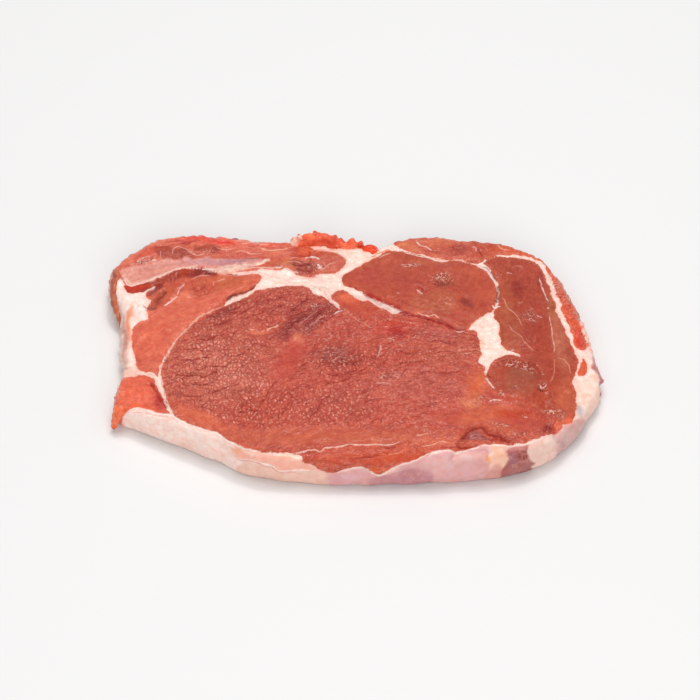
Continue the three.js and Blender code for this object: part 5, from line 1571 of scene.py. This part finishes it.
class WetGloss(Effect):
    """Wetness: how rough the skin is, how much liquid lies on it, its beads and its glints."""

    name = "wet_gloss"
    takes = ("Point", "Wet", "Dry")
    gives = ("Roughness", "Coat", "Beads", "Glints")

    def results(self, tree: Tree, *given: Value) -> Sequence[Value]:
        """Works out the film of liquid, its drops and ripples, and the glints on it."""
        point, wet, dry = given
        pools = tree.step(tree.noise(point, 0.5, 3.0, 0.6), 0.4, 0.62)
        film = wet * tree.ramp(pools, 0.0, 1.0, 0.35, 1.0)
        uneven = tree.ramp(tree.noise(point, 0.8, 3.0, 0.6), 0.2, 0.8, -0.07, 0.07)
        drops = 1 - tree.step(tree.knobs(point, 0.62, 0.6), 0.05, 0.6)
        ripples = 1 - tree.valleys(tree.noise(point, 0.55), 0.1)
        beads = (0.5 * drops + ripples) * tree.step(wet, 0.45, 0.9)
        specks = 1 - tree.valleys(tree.noise(tree.bent(point, 0.5, 1.5), 0.62, 2.0, 0.6), 0.095)
        sparse = tree.step(tree.noise(point, 0.85), 0.47, 0.55)
        glints = specks * sparse * tree.step(wet, 0.55, 0.95)
        return dry + uneven - 0.16 * film, film, beads, glints


@dataclass(frozen=True)
class Effects:
    """The effects, each built once."""

    grain: MeatGrain
    mottle: Mottle
    edge: FatEdge
    line: DrawnLine
    gloss: WetGloss


@dataclass(frozen=True)
class Finish:
    """The finish of raw meat and its fat.

    relief is the height of the fibres' bumps in millimetres, dry_meat and dry_fat are how
    rough both are where nothing wet lies on them, and soak is the share of light that sinks in.
    The pale tone is a highlight painted on the ridges, the crease tone is shade painted in the
    creases and cracks, and the glint tone is the glints painted where the skin is wet.
    """

    name: str
    relief: float
    dry_meat: float
    dry_fat: float
    soak: float
    soak_depth: float = 1.6  # in millimetres
    film_roughness: float = 0.14
    pale: str = "#ef9c8b"
    crease: str = "#96332a"
    glint: str = "#f4c3b2"
    fringe: str = "#f2a894"
    vein: str = "#eba493"

    def material(self, effects: Effects) -> bpy.types.Material:
        """Builds the finish as a material."""
        if self.name in bpy.data.materials:
            return bpy.data.materials[self.name]
        material = bpy.data.materials.new(self.name)
        material.use_nodes = True
        material.node_tree.nodes.clear()
        tree = Tree(material.node_tree)
        place = tree.out(tree.node("ShaderNodeTexCoord"), "Object")
        inputs = {0: place, "Scale": 1 / MM}
        point = tree.out(tree.node("ShaderNodeVectorMath", inputs, operation="SCALE"))
        flow = tree.stored("flow")

        grain = effects.grain.use(tree, point, flow, tree.stored("crinkle"), tree.stored("cobbled"))
        mottle = effects.mottle.use(tree, point, flow)
        edge = effects.edge.use(tree, point, tree.stored("fat_mm"))
        pale = self.line_mask(tree, effects, point, "pale", 0.3, 0.45)
        dark = self.line_mask(tree, effects, point, "dark", 0.35, 0.9)
        fat = edge["Fat"]
        dry = tree.ramp(fat, 0.0, 1.0, self.dry_meat, self.dry_fat)
        gloss = effects.gloss.use(tree, point, tree.stored("wet"), dry)

        colour = tree.mix(fat, self.meat_colour(tree, grain, mottle), self.fat_colour(tree, edge, mottle))
        colour = tree.toned(0.9 * gloss["Glints"], colour, self.glint)
        # dark lines, some painted shade, and pale lines, some painted highlights
        colour = tree.mix(0.85 * dark, colour, tree.stored("dark_tone", "Color"))
        colour = tree.mix(0.9 * pale, colour, tree.stored("pale_tone", "Color"))

        bumps = grain["Height"] * (1 - fat)
        bumps = bumps + fat * (0.5 * tree.noise(point, 0.6, 3.0) - 0.6 * edge["Knobs"] + 0.35)
        bumps = bumps + 0.65 * gloss["Beads"] + 0.25 * pale - 0.4 * dark
        inputs = {"Height": bumps, "Distance": self.relief * MM, "Strength": 1.0}
        normal = tree.out(tree.node("ShaderNodeBump", inputs), "Normal")
        shader = tree.node("ShaderNodeBsdfPrincipled", {
            "Base Color": colour,
            "Roughness": gloss["Roughness"],
            "Coat Weight": 0.85 * gloss["Coat"] * (1 - dark),
            "Coat Roughness": self.film_roughness,
            "Normal": normal,
            "Coat Normal": normal,
            "Subsurface Weight": self.soak,
            "Subsurface Radius": (1.0, 0.32, 0.22),
            "Subsurface Scale": self.soak_depth * MM,
            "IOR": 1.42,
        })
        tree.node("ShaderNodeOutputMaterial", {"Surface": tree.out(shader, "BSDF")})
        return material

    def line_mask(self, tree: Tree, effects: Effects, point: Value, layer: str,
                  softness: float, spread: float) -> Value:
        """Finds where the lines of a layer lie.

        Args:
            tree: The material's tree.
            effects: The effects.
            point: The point in millimetres.
            layer: The layer's name, "pale" or "dark".
            softness: How soft the edge of a thin line is, in millimetres.
            spread: How much softer a wide line's edge is, for each millimetre of half width.

        Returns:
            The mask, 1 on the lines.
        """
        half = tree.stored(layer + "_half")
        soft = tree.ramp(half, 0.0, 1.0, softness, softness + spread)
        return effects.line.use(tree, point, tree.stored(layer + "_mm"), half, soft)["Line"]

    def meat_colour(self, tree: Tree, grain: dict[str, Value], mottle: dict[str, Value]) -> Value:
        """The meat: its own tone, lighter and darker in clouds, streaks and bundles, with a highlight
        painted on the ridges and shade painted in the creases.
        """
        tone = tree.stored("meat_tone", "Color")
        for share, dark, light in (
            (mottle["Cloud"], (0.9, 0.8, 0.82), (1.06, 1.14, 1.1)),
            (mottle["Blot"], (0.87, 0.69, 0.7), (1.1, 1.29, 1.27)),
            (mottle["Streak"], (0.93, 0.84, 0.84), (1.05, 1.12, 1.12)),
            (tree.ramp(grain["Bundle"], -1.0, 1.0, 0.0, 1.0), (0.84, 0.72, 0.72), (1.12, 1.3, 1.28)),
        ):
            tone = tree.mix(share, tree.tinted(1.0, tone, dark), tree.tinted(1.0, tone, light))
        # painted highlight on the ridges
        tone = tree.toned(0.78 * grain["Ridge"], tone, self.pale)
        # painted shade in the creases and cracks
        return tree.toned(0.54 * grain["Crease"], tone, self.crease)

    def fat_colour(self, tree: Tree, edge: dict[str, Value], mottle: dict[str, Value]) -> Value:
        """The fat: its own tone, pinker in clouds, in veins and along its edge, and darker between
        knobs, where shade is painted.
        """
        cloud = 0.22 * mottle["Cloud"] + 0.22 * mottle["Blot"]
        tone = tree.tinted(cloud, tree.stored("fat_tone", "Color"), (0.96, 0.72, 0.68))
        # painted shade where the knobs of fat meet
        tone = tree.tinted(tree.step(edge["Knobs"], 0.3, 0.85), tone, (0.96, 0.86, 0.83))
        tone = tree.toned(0.3 * edge["Veins"], tone, self.vein)
        return tree.toned(0.45 * edge["Fringe"], tone, self.fringe)


CUT_FACE = Finish("cut_face", relief=0.36, dry_meat=0.34, dry_fat=0.44, soak=0.2)
TORN_MEAT = Finish("torn_meat", relief=0.3, dry_meat=0.34, dry_fat=0.42, soak=0.15)


# The pieces


def store(mesh: bpy.types.Mesh, name: str, values: Array) -> None:
    """Stores one number or colour for each point of a mesh."""
    kind, slot = "FLOAT", "value"
    if values.ndim == 2:
        kind, slot = "FLOAT_COLOR", "color"
        values = np.column_stack([values, np.ones(len(values))])
    attribute = mesh.attributes.new(name, kind, "POINT")
    attribute.data.foreach_set(slot, np.ascontiguousarray(values, dtype=np.float32).ravel())


def rows_of(mesh: bpy.types.Mesh, name: str) -> Array:
    """Reads the places or the normals of a mesh's points, one row each."""
    rows = np.empty(len(mesh.vertices) * 3)
    mesh.vertices.foreach_get(name, rows)
    return rows.reshape(-1, 3)


def placed(name: str, data: bpy.types.ID) -> bpy.types.Object:
    """Puts a new object into the scene."""
    made = bpy.data.objects.new(name, data)
    bpy.context.scene.collection.objects.link(made)
    return made


@dataclass
class MeatSlice:
    """The slice's skin with everything that is drawn on it."""

    shape: Slice = field(default_factory=Slice)
    rim_share: float = 0.35  # of the relief, where the face ends
    rim_reach: float = 2.0  # how far in from there the relief is whole
    wall_share: float = 0.4  # of the relief, on the wall
    rugged: float = 0.8  # how far a torn wall's crags stand out

    def build(self, effects: Effects) -> bpy.types.Object:
        """Builds the slice and dresses it."""
        skin, faces = self.shape.skin_and_faces()
        drawing = Drawing(skin)
        place = self.raised(skin, drawing)
        mesh = bpy.data.meshes.new(self.shape.name)
        points = (place - [*CENTRE, 0]) * MM
        mesh.from_pydata(points.tolist(), [], faces)
        mesh.shade_smooth()
        for name, values in {
            "fat_mm": drawing.fat(), "flow": drawing.flow,
            "meat_tone": drawing.meat_tone(), "fat_tone": drawing.fat_tone(),
            "crinkle": drawing.crinkle(), "cobbled": drawing.cobbled(), "wet": drawing.wet(),
        }.items():
            store(mesh, name, values)
        for layer, lines in (("pale", drawing.pale), ("dark", drawing.dark)):
            store(mesh, layer + "_mm", lines.signed)
            store(mesh, layer + "_half", lines.half)
            store(mesh, layer + "_tone", lines.tone)
        mesh.materials.append(CUT_FACE.material(effects))
        return placed(self.shape.name, mesh)

    def raised(self, skin: Skin, drawing: Drawing) -> Array:
        """Moves the skin out by the drawing's relief.

        Args:
            skin: The skin before any relief.
            drawing: What is drawn on it.

        Returns:
            The places of its points in the drawing's frame.
        """
        relief = drawing.relief()
        face, wall = skin.lies_in(Zone.FACE), skin.lies_in(Zone.WALL)
        place = skin.place.copy()
        kept = self.rim_share + (1 - self.rim_share) * smooth(skin.inside, 0.0, self.rim_reach)
        place[face, 2] += (relief * kept)[face]
        behind = smooth(-skin.outward[:, 1], 0.5, -0.1)
        torn = 0.25 + 0.9 * behind
        crags = lumps(skin.place, 4.5, 5.5) + 0.5 * lumps(skin.place, 2.0, 8.5)
        fade = smooth(skin.place[:, 2], 0.0, 2.5)
        push = fade * (torn * crags * self.rugged + self.wall_share * relief)
        place[wall, :2] += (push[:, None] * skin.outward)[wall]
        place[:, 2] = np.maximum(place[:, 2], 0)
        return place


@dataclass(frozen=True)
class Lobe:
    """One lump of a torn scrap: its middle and three half sizes, and its turn in degrees."""

    middle: tuple[float, float, float]
    halves: tuple[float, float, float]
    turn: float = 0.0


@dataclass
class TornScrap:
    """A scrap of torn meat on the rim: lumps grown together, with a crumbly skin."""

    name: str
    tone: str
    lobes: Sequence[Lobe]
    crumbs: int = 0
    seed: int = 1
    grain: float = 0.45
    crumple: float = 0.7
    fat: float = -0.8
    crinkle: float = 0.2
    wet: float = 0.5
    pale: str = "#f6c6b2"

    def all_lobes(self) -> list[Lobe]:
        """The lumps, with small crumbs strewn over them."""
        random = np.random.default_rng(self.seed)
        strewn = []
        for _ in range(self.crumbs):
            host = self.lobes[random.integers(len(self.lobes))]
            way = random.normal(size=3)
            way[2] = abs(way[2])
            way /= np.linalg.norm(way)
            size = random.uniform(0.5, 1.0)
            middle = np.array(host.middle) + way * np.array(host.halves) * 0.95
            strewn.append(Lobe(tuple(middle), (size * 1.4, size, size), random.uniform(0, 180)))
        return [*self.lobes, *strewn]

    def build(self, effects: Effects) -> bpy.types.Object:
        """Builds the scrap and dresses it."""
        form = bmesh.new()
        for lobe in self.all_lobes():
            place = Matrix.Translation([(m - c) * MM for m, c in zip(lobe.middle, [*CENTRE, 0])])
            turn = Matrix.Rotation(math.radians(lobe.turn), 4, "Z")
            size = Matrix.Diagonal([*(h * MM for h in lobe.halves), 1])
            bmesh.ops.create_icosphere(form, subdivisions=3, radius=1, matrix=place @ turn @ size)
        rough = bpy.data.meshes.new(self.name + "_lumps")
        form.to_mesh(rough)
        form.free()
        piece = placed(self.name, rough)
        grown = piece.modifiers.new("grown", "REMESH")
        grown.mode = "VOXEL"
        grown.voxel_size = self.grain * MM
        skin = piece.evaluated_get(bpy.context.evaluated_depsgraph_get())
        mesh = bpy.data.meshes.new_from_object(skin)
        piece.modifiers.clear()
        piece.data = mesh
        mesh.name = self.name
        self.crumble(mesh)
        self.dress(mesh, effects)
        return piece

    def crumble(self, mesh: bpy.types.Mesh) -> None:
        """Roughens the skin along its normals."""
        place, normal = rows_of(mesh, "co"), rows_of(mesh, "normal")
        where = place / MM
        self.bumps = 0.6 * lumps(where, 2.4, 1.5) + 0.35 * lumps(where, 1.2, 6.5)
        place += normal * (self.crumple * self.bumps * MM)[:, None]
        place[:, 2] = np.maximum(place[:, 2], 0.0001)
        mesh.vertices.foreach_set("co", place.ravel())
        mesh.shade_smooth()
        mesh.update()

    def dress(self, mesh: bpy.types.Mesh, effects: Effects) -> None:
        """Stores what the finish reads, and gives the scrap its finish."""
        count = len(mesh.vertices)
        where = rows_of(mesh, "co") / MM
        tone = np.array(under_gloss(self.tone))
        cloud = lumps(where, 3.4, 12.5)[:, None]
        for name, values in {
            "fat_mm": self.fat + 1.3 * lumps(where, 2.6, 20.5), "flow": where[:, 0],
            "meat_tone": np.clip(tone * (1 + cloud * np.array([0.25, 0.6, 0.6])), 0.003, 1),
            "fat_tone": np.tile(under_gloss(self.pale), (count, 1)),
            "crinkle": np.full(count, self.crinkle), "cobbled": np.zeros(count),
            "wet": np.full(count, self.wet),
            "pale_mm": np.full(count, 9.0), "pale_half": np.full(count, -1.0),
            "pale_tone": np.tile(tone, (count, 1)),
            # the dark layer is maroon shade painted in the hollows between the crumbs, where the bumps are
            # low
            "dark_mm": np.zeros(count), "dark_half": -0.75 - 1.6 * self.bumps,
            "dark_tone": np.tile(under_gloss(MAROON), (count, 1)),
        }.items():
            store(mesh, name, values)
        mesh.materials.append(TORN_MEAT.material(effects))


TORN_SCRAPS = [
    TornScrap("torn_ridge", "#ee6a50", [
        Lobe((-20.8, 50.0, 12.6), (3.2, 3.0, 3.4), 12), Lobe((-17.4, 50.9, 13.2), (3.6, 2.8, 3.7), -8),
        Lobe((-14.0, 51.4, 13.5), (3.4, 2.8, 3.8)), Lobe((-10.6, 51.0, 13.4), (3.2, 2.7, 3.8), 10),
        Lobe((-7.4, 50.0, 13.2), (2.7, 2.5, 3.4)), Lobe((-4.0, 49.4, 11.6), (3.0, 2.5, 3.2), -10),
        Lobe((-0.6, 48.8, 11.4), (2.9, 2.4, 3.0)), Lobe((2.2, 48.2, 11.2), (2.3, 2.1, 2.8)),
        Lobe((4.6, 48.8, 12.0), (1.4, 1.7, 3.4)), Lobe((0.6, 49.6, 13.2), (1.0, 1.3, 1.8)),
    ], crumbs=40, seed=3, crumple=0.5, fat=-0.8, pale="#f7b39c"),
    TornScrap("pale_scrap", "#f09a84", [
        Lobe((-23.4, 48.4, 12.4), (2.2, 2.4, 3.0), 20), Lobe((-21.8, 49.6, 14.0), (2.0, 1.9, 2.4)),
    ], crumbs=14, seed=13, crumple=0.5, fat=0.4, pale="#f7cbbb"),
    TornScrap("red_lobe", "#ef5237", [
        Lobe((8.2, 45.9, 12.0), (3.6, 2.7, 3.2), 10), Lobe((6.2, 46.8, 11.0), (2.6, 2.4, 3.0)),
        Lobe((10.2, 44.4, 12.0), (2.0, 2.0, 2.4)),
    ], crumbs=7, seed=5, crumple=0.4, fat=-1.0),
    TornScrap("torn_flap", "#bd6c56", [
        Lobe((-96.2, 31.0, 11.4), (1.9, 4.6, 2.6), 14), Lobe((-96.8, 27.2, 10.6), (2.1, 4.4, 2.8), 4),
        Lobe((-96.8, 23.8, 9.6), (2.1, 4.2, 3.0)), Lobe((-96.2, 20.6, 8.4), (1.9, 4.0, 3.0), -10),
        Lobe((-95.3, 17.6, 7.0), (1.6, 3.6, 2.8), -14), Lobe((-94.4, 14.8, 5.5), (1.3, 3.0, 2.5), -16),
        Lobe((-93.6, 12.4, 4.0), (1.0, 2.4, 2.2), -16), Lobe((-93.1, 10.6, 2.6), (0.7, 1.6, 1.7), -16),
    ], crumple=0.4, fat=-0.7, pale="#e8a692"),
    TornScrap("torn_leg", "#f07a56", [
        Lobe((-90.4, -42.6, 9.2), (3.0, 2.6, 2.6)), Lobe((-91.6, -43.6, 7.0), (2.4, 2.0, 2.6)),
        Lobe((-92.6, -44.4, 4.8), (1.6, 1.6, 2.4)), Lobe((-93.4, -45.0, 2.6), (1.1, 1.2, 2.0)),
    ], crumbs=5, seed=9, crumple=0.4),
    TornScrap("dark_blob", "#a3262a", [
        Lobe((-48.2, 52.0, 11.6), (2.4, 1.6, 1.8)), Lobe((-46.4, 51.8, 11.0), (1.5, 1.3, 1.4)),
    ], crumple=0.3, fat=-1.4),
    TornScrap("right_fringe", "#e98670", [
        Lobe((93.9, 4.8, 8.8), (1.3, 2.8, 1.6), 8), Lobe((94.7, 1.4, 8.7), (1.2, 2.6, 1.7), 10),
        Lobe((95.3, -2.2, 8.4), (1.4, 2.7, 1.5), 6), Lobe((95.9, -5.8, 8.2), (1.2, 2.6, 1.7), 10),
        Lobe((96.6, -9.2, 7.9), (1.3, 2.6, 1.5), 8), Lobe((97.1, -12.8, 7.7), (1.2, 2.7, 1.6), 6),
        Lobe((97.4, -16.2, 7.5), (1.1, 2.4, 1.5)), Lobe((97.3, -19.4, 7.4), (1.0, 2.1, 1.4), -6),
    ], crumple=0.5, fat=0.6, pale="#f6d3c8"),
]


@dataclass
class Studio:
    """The camera, the lights and the floor."""

    lens: float = 140.68
    distance: float = 1.114
    elevation: float = 45.14
    sensor: float = 36.0
    floor_reach: float = 6.0
    floor_depth: float = 0.0002
    floor_tone: tuple[float, float, float] = (0.82, 0.815, 0.81)
    floor_roughness: float = 0.7
    surroundings: float = 0.45
    light_distance: float = 1.3

    def place_camera(self) -> None:
        """Puts the camera where the photograph was taken from."""
        camera = placed("camera", bpy.data.cameras.new("camera"))
        camera.data.lens = self.lens
        camera.data.sensor_width = self.sensor
        angle = math.radians(self.elevation)
        target = Vector((-CENTRE[0] * MM, -CENTRE[1] * MM, 0))
        back = Vector((0, -math.cos(angle), math.sin(angle)))
        camera.location = target + self.distance * back
        camera.rotation_euler = (math.pi / 2 - angle, 0, 0)
        bpy.context.scene.camera = camera

    def add_light(self, name: str, power: float, size: tuple[float, float],
                  azimuth: float, elevation: float, gleams: bool = True) -> None:
        """Adds a soft light that points at the slice.

        Args:
            name: Its name.
            power: Its power in watts.
            size: Its width and height in metres.
            azimuth: Its direction in degrees, 0 at the front and 90 at the right.
            elevation: How high it stands, in degrees.
            gleams: Whether the gloss shows it.
        """
        lamp = bpy.data.lights.new(name, "AREA")
        lamp.shape = "RECTANGLE"
        lamp.size, lamp.size_y = size
        lamp.energy = power
        light = placed(name, lamp)
        a, e = math.radians(azimuth), math.radians(elevation)
        way = Vector((math.sin(a) * math.cos(e), -math.cos(a) * math.cos(e), math.sin(e)))
        light.location = way * self.light_distance
        light.visible_glossy = gleams
        light.rotation_euler = way.to_track_quat("Z", "Y").to_euler()

    def light_up(self) -> None:
        """Adds the lights and the white surroundings."""
        self.add_light("key", 5.2, (0.8, 0.8), 176, 78, gleams=False)
        self.add_light("sheen", 3.1, (0.8, 0.8), 176, 78)
        self.add_light("spark", 2.2, (0.14, 0.14), 168, 72)
        self.add_light("fill", 6.6, (1.0, 0.6), 4, 30, gleams=False)
        world = bpy.data.worlds.new("surroundings")
        world.use_nodes = True
        backdrop = world.node_tree.nodes["Background"].inputs
        backdrop["Color"].default_value = (1, 1, 1, 1)
        backdrop["Strength"].default_value = self.surroundings
        bpy.context.scene.world = world
        bpy.context.scene.view_settings.view_transform = "Standard"

    def lay_floor(self) -> bpy.types.Object:
        """Lays the pale floor."""
        mesh = bpy.data.meshes.new("floor")
        reach = self.floor_reach
        corners = [(-reach, -reach, 0), (reach, -reach, 0), (reach, reach, 0), (-reach, reach, 0)]
        mesh.from_pydata(corners, [], [(0, 1, 2, 3)])
        material = bpy.data.materials.new("floor")
        material.use_nodes = True
        shader = material.node_tree.nodes["Principled BSDF"]
        shader.inputs["Base Color"].default_value = (*self.floor_tone, 1)
        shader.inputs["Roughness"].default_value = self.floor_roughness
        mesh.materials.append(material)
        floor = placed("floor", mesh)
        floor.location.z = -self.floor_depth
        return floor


def main() -> None:
    """Builds the scene piece by piece."""
    logging.basicConfig(level=logging.INFO, format="%(name)s: %(message)s")
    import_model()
    studio = Studio()
    studio.place_camera()
    studio.light_up()
    studio.lay_floor()
    effects = Effects(MeatGrain(), Mottle(), FatEdge(), DrawnLine(), WetGloss())

    meat = MeatSlice().build(effects)
    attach(meat, "root")
    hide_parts("entrecote")
    LOG.info("slice: %d faces", len(meat.data.polygons))

    for scrap in TORN_SCRAPS:
        piece = scrap.build(effects)
        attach(piece, "root")
        LOG.info("%s: %d faces", scrap.name, len(piece.data.polygons))


if __name__ == "__main__":
    main()
